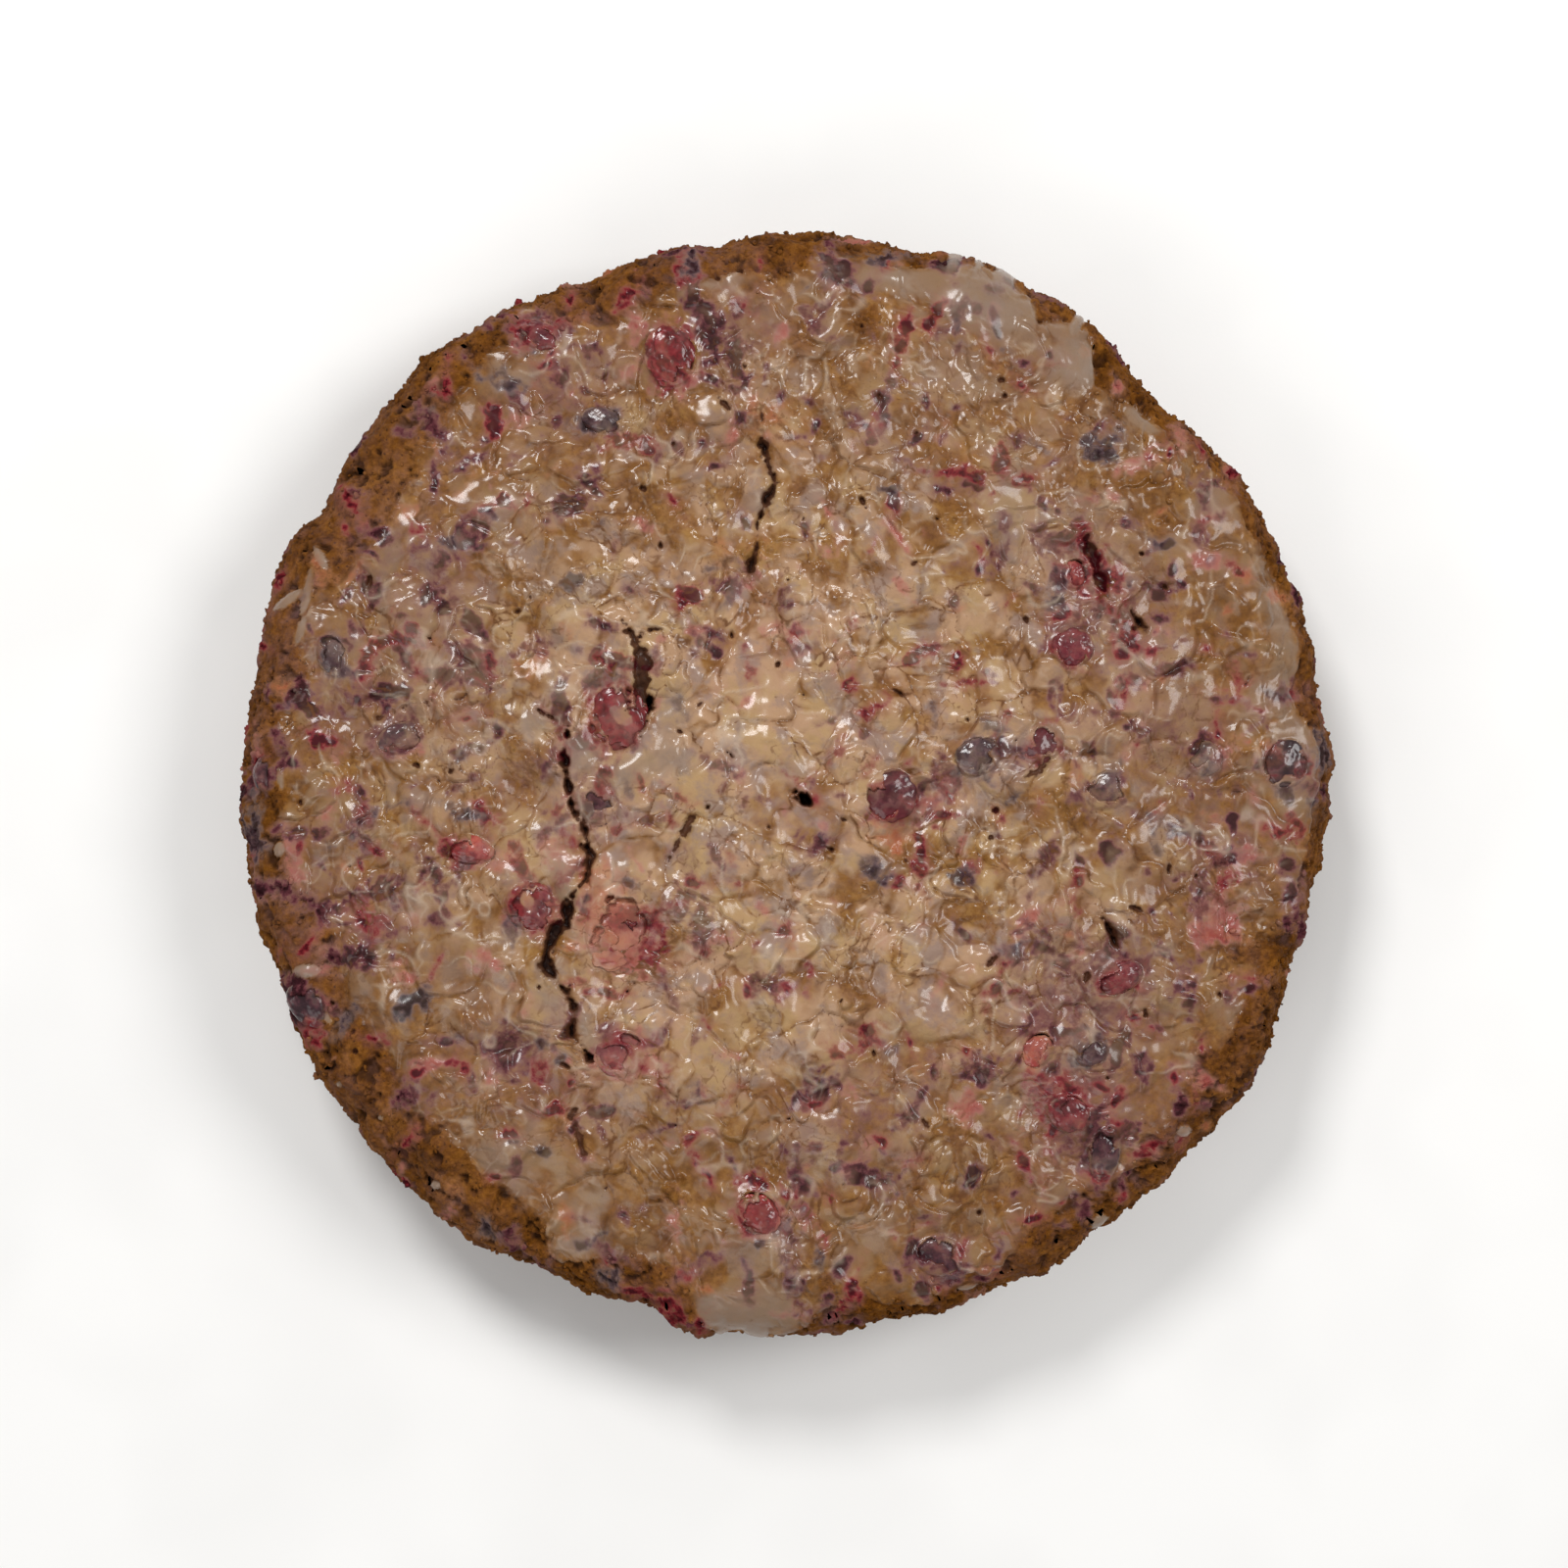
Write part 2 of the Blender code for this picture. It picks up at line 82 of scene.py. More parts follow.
crackLook = {
    "depthBase": 0.7, "depthRate": 0.62, "lip": 0.25,
    "jag": 0.75, "jagSize": 1.8, "pinch": 1.0, "pinchSize": 5.5,
    "deeper": {"mainUpper": 0.55, "berryGap": 2.4, "westFine": 0.6, "pinMiddle": 2.0, "pinWest": 2.0,
               "southEast": 1.6, "rightSlit": 1.6},
}

# kind, number, x, y, length, width, turn, height, film: how much glaze lies over it, 0 to 1
fruit = (
    ("raspberry", 1, -34.0, 13.3, 14.6, 12.6, 80, -1.6, 0.05),
    ("raspberry", 2, -51.9, -25.2, 11.0, 9.9, 150, -0.2, 0.10),
    ("raspberry", 3, -23.2, 87.7, 12.8, 10.3, 100, 0.0, 0.12),
    ("raspberry", 4, 59.2, 27.9, 8.6, 7.8, 20, 0.0, 0.35),
    ("raspberry", 5, 58.4, -67.5, 8.9, 7.6, 150, 0.1, 0.35),
    ("raspberry", 6, -33.3, -55.3, 10.8, 9.4, 10, 0.2, 0.55),
    ("raspberry", 7, 68.9, -39.9, 9.9, 6.2, 25, 0.0, 0.45),
    ("raspberry", 8, -50.6, 92.6, 8.6, 6.0, 160, 0.0, 0.20),
    ("strawberry", 1, -34.2, -29.2, 18.0, 12.8, 75, -0.1, 0.97),
    ("strawberry", 2, -5.3, -88.1, 9.9, 8.2, 130, 0.1, 0.40),
    ("strawberry", 3, 52.2, -54.5, 7.8, 6.2, 60, -0.5, 0.45),
    ("strawberry", 4, -65.0, -13.4, 10.5, 6.2, 170, 0.1, 0.35),
    ("strawberry", 5, 59.8, 43.2, 6.6, 5.2, 80, -0.1, 0.15),
    ("cherry", 1, 21.9, -2.4, 11.2, 10.4, 35, 0.4, 0.35),
    ("cherry", 2, 52.6, 8.0, 9.6, 7.2, 20, 0.1, 0.50),
    ("blueberry", 1, 103.2, 4.2, 10.3, 9.2, 70, 0.3, 0.25),
    ("blueberry", 2, 39.6, 5.7, 9.9, 7.8, 15, 0.3, 0.60),
    ("blueberry", 3, 66.4, -1.3, 10.0, 7.6, 20, 0.4, 0.80),
    ("blueberry", 4, 86.2, 5.3, 7.6, 7.2, 0, 0.4, 0.80),
    ("blueberry", 5, -38.6, -3.6, 10.4, 7.6, 110, 0.0, 0.45),
    ("blueberry", 6, 66.2, -76.0, 11.8, 6.4, 80, -0.1, 0.60),
    ("blueberry", 7, 32.0, -97.4, 10.5, 8.6, 165, 0.0, 0.60),
    ("blueberry", 8, -98.8, -45.6, 9.9, 7.2, 130, -0.3, 0.35),
    ("blueberry", 9, -37.5, 74.9, 8.9, 5.4, 165, -0.1, 0.65),
    ("blueberry", 10, -93.1, 26.3, 9.1, 6.2, 105, 0.2, 0.75),
    ("blueberry", 11, -78.9, 9.4, 9.9, 6.4, 20, 0.2, 0.75),
    ("blueberry", 12, -107.2, 2.2, 7.6, 5.4, 90, -0.2, 0.30),
    ("blueberry", 13, 63.2, -55.0, 6.8, 5.8, 30, 0.3, 0.55),
)
fruitForm = {
    "dome": 1.5, "body": 3.6, "lift": 0.25, "skin": 0.12, "pocketDepth": 2.6, "shoulderLean": 0.8,
    "opening": 0.90, "closing": 0.46, "ragged": 0.75, "widest": 0.92,    # of the skin over a berry
    "lumps": (("raspberry", 1), ("raspberry", 2)),       # those with a lump of glaze on top
}

glaze = {
    # how far inside the rim it ends, at each angle
    "inset": ((0, 4), (10, 5), (30, 5), (45, 4), (49, 7), (52, 10), (55, 3), (57, 0.5), (59, 4), (61, 8),
              (63, 2), (66, 0), (71, 1), (75, 5.5), (85, 6), (90, 8), (100, 8), (115, 8), (119, 2), (122, 4),
              (126, 11), (135, 11), (140, 13), (152, 12), (156, 9), (159, 5), (162, 9), (168, 9), (180, 8.5),
              (190, 10), (200, 12), (215, 13), (238, 14), (243, 8), (245, 6), (248, 9), (258, 10),
              (261, 3), (264, 0), (270, 0), (273, 4), (280, 4.5), (300, 5), (305, 6.5), (315, 7),
              (322, 9), (335, 9), (341, 5), (355, 4.5)),
    "wander": 1.5,            # of its edge, in noise 5 mm wide
    "middle": 0.60, "nearRim": 0.21, "soak": 7.0, "veil": 0.32,
    # runs down the side: angle, half width, height of the tip
    "runs": ((267, 5.2, 17), (263.5, 2.2, 11.5), (57.5, 2.6, 16), (66.5, 4.6, 19.5), (69.5, 1.9, 12.5),
        (72, 2.4, 24)),
    # thick smooth pools: x, y, half length, half width, turn, thickness
    "pools": ((60.8, 86.7, 6.5, 4.8, -20, 0.9), (44, 99, 13, 6, -22, 0.6), (24, 104, 11, 3.6, -8, 0.5),
        (74.5, 77, 4, 3.2, -40, 0.7), (45.5, 57, 5, 9.5, 15, 0.4), (104.4, 26, 3.4, 21, 10, 0.8),
        (-41.5, -92, 4.6, 7.6, -20, 0.6), (-8.5, -109, 11, 4.4, 0, 0.8), (-41, 6.7, 4.2, 3, -20, 1),
        (-30, 3.2, 7.5, 3.4, 12, 0.7), (-24, 12, 2, 4.4, -10, 0.7), (-51.3, 11.9, 2.6, 1.5, 10, 0.6),
        (-45.7, -17, 3, 2.6, 0, 0.9), (-49, -43.8, 5, 2.4, -52, 0.9), (-40.1, -50.4, 3.8, 2, -70, 0.9),
        (-44.1, -21.5, 2.1, 1.6, 0, 1.2), (-58, 85.5, 8, 2.2, -15, 0.5), (1, 3.2, 3.6, 2, -15, 0.7),
        (-15, 103, 6, 1.8, 12, 0.4), (90, 60, 7, 5, 60, 0.3), (-62, -78, 10, 5, 0, 0.35),
        (95, -47, 7, 4, 70, 0.35), (84, -75, 9, 3.4, 45, 0.4), (-78, 32, 4, 9, 15, 0.25),
        (40, 83, 8, 4, -10, 0.3)),
    # drops and runs on the bare crust
    "drops": ((-103.6, 0.7, 0.9, 2.7, 8, 0.8), (-94.8, -47.9, 2.4, 0.9, -45, 0.6),
        (-98.2, -38.4, 2.9, 1.5, 5, 1.1), (-103.8, -13.5, 1.7, 1.2, 80, 0.9),
        (82.5, -71.6, 1.7, 1.4, 0, 1), (65.6, -90.7, 2.1, 1.5, 30, 1.1), (-99.5, 31.5, 1.2, 3.4, -20, 0.8),
        (-102.5, 38, 3.6, 1, 35, 0.8), (-98.4, 39.5, 1.1, 5, -12, 0.9), (-95.5, 46.5, 1, 2.6, 30, 0.7),
        (-72, -83, 1, 0.8, 0, 0.7), (-83.5, -69, 0.9, 0.8, 0, 0.7), (-92, -62, 0.8, 0.7, 0, 0.6),
        (38, -104.5, 2, 0.7, 10, 0.5)),
    # thin places where golden crust shows through: x, y, half length, half width, turn, strength
    "bare": ((47.4, 85, 5, 3, 0, 0.7), (35, 66, 7, 4, 10, 0.8), (95, 35, 4, 13, 8, 0.7),
        (29, -16.5, 12, 3.5, 10, 0.7), (66, -10.5, 6, 3, 0, 0.7), (8, -40, 12, 3.5, 0, 0.6),
        (-25, -103, 9, 5, 0, 0.7), (60, 77, 4, 3, 30, 0.7), (86, 70, 5, 3, -50, 0.7),
        (-86, -24, 4, 7, 0, 0.6), (-52, -62, 6, 5, 0, 0.6), (55, 62, 5, 3, 60, 0.6),
        (-92, 5, 4, 10, 0, 0.7), (5, -62, 12, 5, 20, 0.6), (96, -25, 4, 12, 5, 0.5),
        (40, -58, 7, 5, -30, 0.55), (-16, 62, 5, 8, 0, 0.2), (15, 83, 8, 4, 0, 0.3),
        (-78, -42, 5, 6, 0, 0.5), (73, 56, 6, 4, -45, 0.6), (-66, 30, 8, 4, 10, 0.5),
        (-78, 70, 9, 6, 45, 0.6), (-60, 72, 6, 7, 0, 0.45), (90, -62, 8, 5, 50, 0.6),
        (60, -92, 14, 4, 30, 0.6), (0, -84, 14, 4, 8, 0.35), (46, 40, 4, 9, 0, 0.2)),
}


# Lattice noise: random values at the corners of cubes of one size, blended by t*t*(3 - 2*t); -1 to 1
def latticeNoise(points, size, seed):
    table = np.random.RandomState(seed).uniform(-1, 1, (64, 64, 64))
    place = points / size + 512.37
    cell = np.floor(place).astype(int)
    t = place - cell
    t = t * t * (3 - 2 * t)
    low = cell % 64
    high = (cell + 1) % 64
    total = np.zeros(len(points))
    for x, weightX in ((low[:, 0], 1 - t[:, 0]), (high[:, 0], t[:, 0])):
        for y, weightY in ((low[:, 1], 1 - t[:, 1]), (high[:, 1], t[:, 1])):
            for z, weightZ in ((low[:, 2], 1 - t[:, 2]), (high[:, 2], t[:, 2])):
                total += table[x, y, z] * weightX * weightY * weightZ
    return total


# Layers of lattice noise, each half as wide and with "keep" of the strength of the last; about -1 to 1
def layeredNoise(points, size, seed, layers=3, keep=0.5):
    total = np.zeros(len(points))
    strength = 1.0
    for layer in range(layers):
        total += strength * latticeNoise(points, size / 2 ** layer, seed + 17 * layer)
        strength *= keep
    return total


# The points pushed about by three noises of one size
def stirred(points, size, reach, seed):
    return points + reach * np.stack([latticeNoise(points, size, seed + axis) for axis in range(3)], axis=1)


# Cell pattern: one jittered seed in each cube. Gives the distance to the nearest seed, how much
# farther the second nearest is, a random tone of the nearest cell, and the way from its seed
def cellPattern(points, size, seed):
    draw = np.random.RandomState(seed)
    jitter = draw.uniform(0.05, 0.95, (32, 32, 32, 3))
    tones = draw.uniform(0, 1, (32, 32, 32))
    place = points / size + 512.0
    cell = np.floor(place).astype(int)
    nearest = np.full(len(points), 9.0)
    second = np.full(len(points), 9.0)
    tone = np.zeros(len(points))
    way = np.zeros((len(points), 3))
    for x in (-1, 0, 1):
        for y in (-1, 0, 1):
            for z in (-1, 0, 1):
                corner = cell + (x, y, z)
                wrapped = corner % 32
                offset = place - corner - jitter[wrapped[:, 0], wrapped[:, 1], wrapped[:, 2]]
                away = np.sqrt((offset ** 2).sum(axis=1))
                closer = away < nearest
                second = np.where(closer, nearest, np.minimum(second, away))
                tone = np.where(closer, tones[wrapped[:, 0], wrapped[:, 1], wrapped[:, 2]], tone)
                way = np.where(closer[:, None], offset, way)
                nearest = np.minimum(nearest, away)
    return nearest * size, (second - nearest) * size, tone, way * size


# Smooth step from 0 at low to 1 at high: t*t*(3 - 2*t)
def rise(low, high, value):
    t = np.clip((value - low) / (high - low), 0, 1)
    return t * t * (3 - 2 * t)


# Signed distance to an ellipse, near enough: (sqrt((u/a)^2 + (v/b)^2) - 1) * min(a, b)
def ellipseDistance(x, y, middleX, middleY, halfLength, halfWidth, turn):
    c = math.cos(math.radians(turn))
    s = math.sin(math.radians(turn))
    u = (x - middleX) * c + (y - middleY) * s
    v = (y - middleY) * c - (x - middleX) * s
    return (np.sqrt((u / halfLength) ** 2 + (v / halfWidth) ** 2) - 1) * min(halfLength, halfWidth)


# The bread's swell, the same as its solid's: plane waves in seeded directions
def makeWaves(seed, count, shortest, longest, size):
    draw = random.Random(seed)
    waves = []
    for _ in range(count):
        turn = draw.uniform(0, math.tau)
        tilt = draw.uniform(-1.0, 1.0)
        number = math.tau / draw.uniform(shortest * mm, longest * mm) * mm
        flat = math.cos(tilt) * number
        way = np.array((flat * math.cos(turn), flat * math.sin(turn), math.sin(tilt) * number))
        waves.append((way, draw.uniform(0, math.tau), size))
    return waves


crustWaves = makeWaves(**bread["swell"]) + makeWaves(**bread["lumps"])


# Sum of plane waves: size * sin(way . point + phase)
def crustRelief(points):
    total = np.zeros(len(points))
    for way, phase, size in crustWaves:
        total += size * np.sin(points @ way + phase)
    return total


# Radius of the outline: a circle, waves round the rim, and bites as depth * exp(-(away / halfWidth)^2)
def rimRadius(angle):
    radius = np.full(np.shape(angle), bread["wideRadius"])
    for count, size, crest in bread["rimWaves"]:
        radius = radius + size * np.cos(count * (angle - math.radians(crest)))
    for middle, halfWidth, depth in bread["rimBites"]:
        away = np.degrees((angle - math.radians(middle) + math.pi) % math.tau - math.pi)
        radius = radius - depth * np.exp(-(away / halfWidth) ** 2)
    return radius


# Height of the dome: edge + (crown - edge) * (1 - (radius / wide)^power)
def domeHeight(radius):
    rising = bread["crownHeight"] - bread["edgeHeight"]
    return bread["edgeHeight"] + rising * (1 - (radius / bread["wideRadius"]) ** bread["domePower"])


# A point of the skin: along is 0 to 1 over the dome, 1 to 2 round the shoulder's quarter ellipse,
# 2 to 3 down the side. Gives the point, the outward way there and the lean of that way
def skinPoint(angle, along):
    rim = rimRadius(angle)
    inner = rim - bread["shoulderRun"]
    lean = np.clip(along - 1, 0, 1) * math.pi / 2
    down = np.clip(along - 2, 0, 1)
    taper = bread["wideRadius"] - bread["footRadius"]
    radius = np.where(along <= 1, inner * along, inner + bread["shoulderRun"] * np.sin(lean) - taper * down)
    wallTop = bread["edgeHeight"] - bread["shoulderDrop"]
    height = domeHeight(np.minimum(radius, inner)) - bread["shoulderDrop"] * (1 - np.cos(lean))
    height = np.where(along > 2, wallTop + (bread["footRound"] - wallTop) * down, height)
    outX = np.cos(angle)
    outY = np.sin(angle)
    point = np.stack((radius * outX, radius * outY, height), axis=1)
    way = np.stack((outX * np.sin(lean), outY * np.sin(lean), np.cos(lean)), axis=1)
    fade = np.clip(height / bread["footFade"], 0, 1) * (1 - (1 - bread["wallShare"]) * np.sin(lean))
    return point + way * (crustRelief(point) * fade)[:, None], way, lean


# Height of the plain crust, without its relief, straight above x and y
def surfaceHeight(x, y):
    radius = math.hypot(x, y)
    angle = np.array([math.atan2(y, x)])
    inner = float(rimRadius(angle)[0]) - bread["shoulderRun"]
    over = min(1.0, max(0.0, (radius - inner) / bread["shoulderRun"]))
    along = radius / inner if radius <= inner else 1 + math.asin(over) * 2 / math.pi
    return float(skinPoint(angle, np.array([along]))[0][0, 2])


# Distance to a bent line less its half width, which changes along it; less than 0 inside the crack
def crackDistance(x, y, bends):
    nearest = np.full(len(x), 99.0)
    for (x0, y0, w0), (x1, y1, w1) in zip(bends, bends[1:]):
        length = (x1 - x0) ** 2 + (y1 - y0) ** 2
        t = np.clip(((x - x0) * (x1 - x0) + (y - y0) * (y1 - y0)) / length, 0, 1)
        away = np.hypot(x - x0 - t * (x1 - x0), y - y0 - t * (y1 - y0))
        nearest = np.minimum(nearest, away - (w0 + (w1 - w0) * t) / 2)
    return nearest


# Cracks with ragged walls: the line's distance, shifted by two noises so that it widens and pinches
def crackFields(x, y, flat):
    ragged = crackLook["jag"] * layeredNoise(flat, crackLook["jagSize"], 301, 3, 0.6)
    ragged = ragged + crackLook["pinch"] * layeredNoise(flat, crackLook["pinchSize"], 311, 2)
    away = np.full(len(x), 99.0)
    depth = np.zeros(len(x))
    for name, bends in cracks.items():
        one = crackDistance(x, y, bends) + ragged
        widest = max(width for _, _, width in bends)
        deepest = crackLook["depthBase"] + crackLook["depthRate"] * widest
        deepest *= crackLook["deeper"].get(name, 1.0)
        depth = np.maximum(depth, deepest * rise(0.2, -1.0, one))
        away = np.minimum(away, one)
    return away, depth


holes = {"count": 80, "least": 0.24, "most": 0.60, "depth": 1.2, "reach": 106, "seed": 71}


# Pin holes strewn over the top, round or long, as deep as given in their middle
def holeFields(x, y, flat):
    draw = random.Random(holes["seed"])
    away = np.full(len(x), 99.0)
    for _ in range(holes["count"]):
        radius = holes["reach"] * math.sqrt(draw.random())
        angle = draw.uniform(0, math.tau)
        size = draw.uniform(holes["least"], holes["most"])
        long = size * draw.choice((1.0, 1.0, 1.4, 2.6))
        one = ellipseDistance(x, y, radius * math.cos(angle), radius * math.sin(angle), long, size,
                              draw.uniform(0, 180))
        away = np.minimum(away, one)
    away = away + 0.3 * layeredNoise(flat, 0.9, 321, 2)
    return away, holes["depth"] * rise(0.2, -0.3, away)


# Fruit near the surface: x, y, half length, half width, turn and strength of the placed bits of each
# kind; kind, x, y, spread and strength of a cluster
stains = {
    "placed": {
        "red": ((-66.7, -13.5, 3.2, 2.9, 0, 0.9), (-31, -27.7, 4, 3, 0, 0.9), (-28.5, -31, 3, 6, 20, 0.8),
            (-46.5, -22, 2.2, 4, 0, 0.5), (-53.5, -17, 1.4, 6, 25, 0.8), (59.6, 43.4, 2.4, 3.2, 0, 1),
            (66, 43, 2.6, 7, 25, 0.9), (69.6, 29, 2.6, 2.6, 0, 1), (105.5, -9, 1.7, 2, 0, 0.8),
            (67, -42, 3.4, 2.2, 20, 0.8), (57.4, -65.5, 5, 4.4, 0, 0.8), (53, -62, 4.5, 1.4, -30, 0.7),
            (-5.3, -88.1, 4.6, 4.6, 0, 0.9), (-110.5, -13, 1.6, 2.2, 0, 0.8),
            (-97.5, -51, 2.6, 2.4, 0, 0.8), (-24.1, -110.3, 2.6, 3.2, 0, 0.9),
            (-19.5, 105.8, 2, 3.2, 0, 0.8), (-53.5, 93, 2, 3.4, 0, 0.9), (-33, 70.5, 4.5, 1.6, -10, 0.9),
            (-86.5, 25.5, 1.7, 2.6, 0, 1), (-86.5, -7, 1.2, 2, 0, 0.7), (13, 20, 1.6, 1, 20, 0.9),
            (14.5, 33.5, 1.6, 1.2, 0, 0.5), (2, 31, 1.8, 1.6, 0, 0.8), (-74, 52.5, 2, 1.4, 0, 0.6),
            (18.3, 74, 1.2, 2, -20, 0.7), (23.5, -20.5, 1.5, 1.2, 0, 0.9), (38.3, -18, 1.6, 1.6, 0, 0.8),
            (14, -54, 3, 2, 0, 0.8), (-47, -67, 1.6, 1, 30, 0.9), (-85, -27, 3, 4, 0, 0.6),
            (91, -20, 2.2, 1.6, 20, 0.7)),
        "pink": ((-59.9, -14.5, 3.4, 3, 0, 0.7), (-34, -30, 8, 9, 0, 0.6), (-33, -37, 5, 3, 0, 0.8),
            (89, -28, 4.5, 5, 0, 0.8), (-3, -90, 5.6, 4.6, 0, 0.7), (-33.3, -55.3, 7, 6, 0, 0.6),
            (-15, 20, 5, 3, 0, 0.3), (3, 31.5, 3, 2, 10, 0.7), (22, -30, 8, 3, 0, 0.3),
            (-62, -37, 3, 2.6, 0, 0.6)),
        "orange": ((-36, -25, 6, 8, 10, 0.7), (-38, -24, 4, 7, 20, 0.7), (52.2, -54.5, 3.4, 2.4, 60, 0.8),
            (-52, 25, 3, 2, 20, 0.6), (-78, 57, 3, 2, 30, 0.6), (-3, 76, 4, 3, 0, 0.6),
            (-45, -69, 3.4, 2.6, 0, 0.6)),
        "blue": ((112, 6.7, 2.4, 3.5, 0, 0.9), (108, -3, 0.8, 1.8, 20, 0.9), (56.3, 40.3, 1.5, 2.8, 0, 1),
            (41, 6, 5, 3.6, 15, 0.8), (67, 5, 2, 4, 0, 0.4), (79, -8.5, 5, 1.4, -15, 0.6),
            (47, -33.5, 2.5, 1.4, 20, 0.9), (63, -54.7, 3.4, 3, 0, 0.8), (-109.8, -9.1, 2.2, 4.2, 0, 0.9),
            (21.5, 109.3, 2.4, 1.6, 0, 1), (-19, 107, 1.3, 2, 0, 0.9), (-59.1, 83, 4, 1.8, -15, 0.8),
            (-38.5, 73.9, 4, 2, 0, 0.8), (-92, 26, 2, 4, 15, 0.7), (64.3, 69.6, 3, 3, 0, 0.8),
            (-42.6, 41.7, 2.4, 1.8, 40, 1), (-65.9, -6.3, 2.8, 1.4, -30, 0.9), (-12, 37, 2.4, 1.8, 0, 0.6),
            (-68.5, 49.5, 1.5, 1.2, 0, 0.8), (37, -19.2, 2, 1.4, 0, 0.9), (-50, -53, 2, 1.4, 0, 0.7),
            (70, 72, 1.4, 2, 0, 0.6)),
        "purple": ((54.5, 50.6, 4.5, 3.5, 0, 0.8), (60, 47, 6, 6, 0, 0.5), (70.1, 33, 3.4, 6, 20, 0.9),
            (59, 30, 6, 5, 0, 0.7), (48, 5, 9, 3, 10, 0.6), (64, -2, 6, 3.5, 10, 0.6),
            (68, -38, 8, 5, 0, 0.7), (48, -34, 5, 3, 20, 0.8), (55, -45, 8, 8, 0, 0.5),
            (64.5, -73, 3.4, 9, 5, 0.9), (62, -88, 2, 4, 5, 0.7), (-35, -52.5, 5, 3, 0, 0.7),
            (2.3, -102.5, 2.2, 4.4, 0, 0.8), (32, -98.2, 6, 5, 0, 0.7), (-108.6, 2.2, 4, 3, 0, 0.9),
            (-100.3, -46.4, 4.5, 6, 40, 1), (-9.4, 98, 1.8, 2.4, 0, 0.9), (-48, 92.4, 5, 4, 0, 0.8),
            (66, 72, 4.5, 3, 0, 0.4), (-80, 10, 6, 3.6, 20, 0.6), (-87, -8.5, 2.2, 4.2, 0, 0.9),
            (-46, -48, 3, 5, 0, 0.4), (-38, 8, 2.4, 4.5, 10, 0.6), (-40, -5, 4.4, 5, 0, 0.7),
            (-15, 95.5, 2.2, 3.2, 0, 0.9), (37, 98.5, 2.6, 2.2, 0, 0.8), (33, 93, 1.6, 1.2, 0, 0.8),
            (-72, 47, 5, 4, -30, 0.6), (18.3, 72, 1.6, 2.6, -20, 0.8), (-21, -15, 3, 3, 0, 0.4),
            (-55, -55, 6, 5, 0, 0.7), (-70, -28, 2.4, 1.6, 0, 0.7), (-84, -29, 4.4, 4, 0, 0.7),
            (62, 14, 4.6, 4.6, 0, 0.4), (78, 28, 3.6, 2, 20, 0.6)),
    },
    "clusters": (("purple", 64, 38, 15, 0.5), ("red", 62, 38, 12, 0.25), ("purple", -42, 2, 16, 0.35),
                 ("purple", 60, -46, 17, 0.75), ("red", 60, -50, 16, 0.25), ("purple", 62, -72, 10, 0.4),
                 ("red", -36, -28, 14, 0.3), ("purple", -52, -55, 14, 0.45), ("purple", -95, -25, 12, 0.4),
                 ("purple", -45, 86, 13, 0.45), ("purple", -8, 95, 13, 0.35), ("blue", 48, 4, 14, 0.35),
                 ("purple", -70, 45, 13, 0.4), ("purple", 92, -18, 13, 0.35), ("purple", 14, -70, 15, 0.35),
                 ("red", -40, -66, 12, 0.2), ("purple", -88, 20, 12, 0.4), ("pink", 0, 30, 16, 0.3),
                 ("pink", 30, 10, 18, 0.25), ("purple", 82, 8, 12, 0.35), ("pink", -20, -30, 14, 0.2),
                 ("blue", 20, 66, 12, 0.3), ("purple", 0, -8, 12, 0.2), ("orange", 0, 72, 9, 0.35)),
    # kind: usual strength all over, number of scattered bits, their least and most half length and strength
    "kinds": {"pink": (0.08, 130, 1.5, 5.0, 0.8), "orange": (0.10, 80, 1.2, 4.2, 0.7),
              "purple": (0.12, 430, 0.7, 4.8, 1.3), "red": (0.00, 230, 0.5, 3.2, 1.3),
              "blue": (0.02, 70, 0.8, 3.4, 1.1)},
    "share": 0.70,            # of a cluster's strength that tints the whole of it
    "byFruit": {"raspberry": "red", "strawberry": "pink", "cherry": "red", "blueberry": "purple"},
}


# x and y of points, with the side folded out flat beyond the rim
def foldedOut(points):
    below = np.clip(bread["edgeHeight"] - 5 - points[:, 2], 0, None)
    share = 1 + below / np.maximum(np.hypot(points[:, 0], points[:, 1]), 1)
    return points[:, 0] * share, points[:, 1] * share


# Small bits of fruit strewn by chance over a ring, more of them in the clusters of their kind
def scatterBits(seed, inner, outer, amount):
    draw = random.Random(seed)
    bits = []
    for kind, (_, count, least, most, strength) in stains["kinds"].items():
        count = round(count * amount)
        while count:
            radius = math.sqrt(inner ** 2 + (outer ** 2 - inner ** 2) * draw.random())
            angle = draw.uniform(0, math.tau)
            x = radius * math.cos(angle)
            y = radius * math.sin(angle)
            wanted = 0.30
            for other, middleX, middleY, spread, share in stains["clusters"]:
                if other == kind:
                    wanted += 1.6 * share * math.exp(-((x - middleX) ** 2 + (y - middleY) ** 2) / spread ** 2)
            if draw.random() < wanted:
                half = least + (most - least) * draw.random() ** 2
                bits.append((kind, x, y, half, half * draw.uniform(0.22, 0.6), draw.uniform(0, 180),
                             strength * draw.uniform(0.40, 1.0)))
                count -= 1
    return bits


scattered = scatterBits(417, 0, 111, 1.0) + scatterBits(433, 113, 141, 0.3)


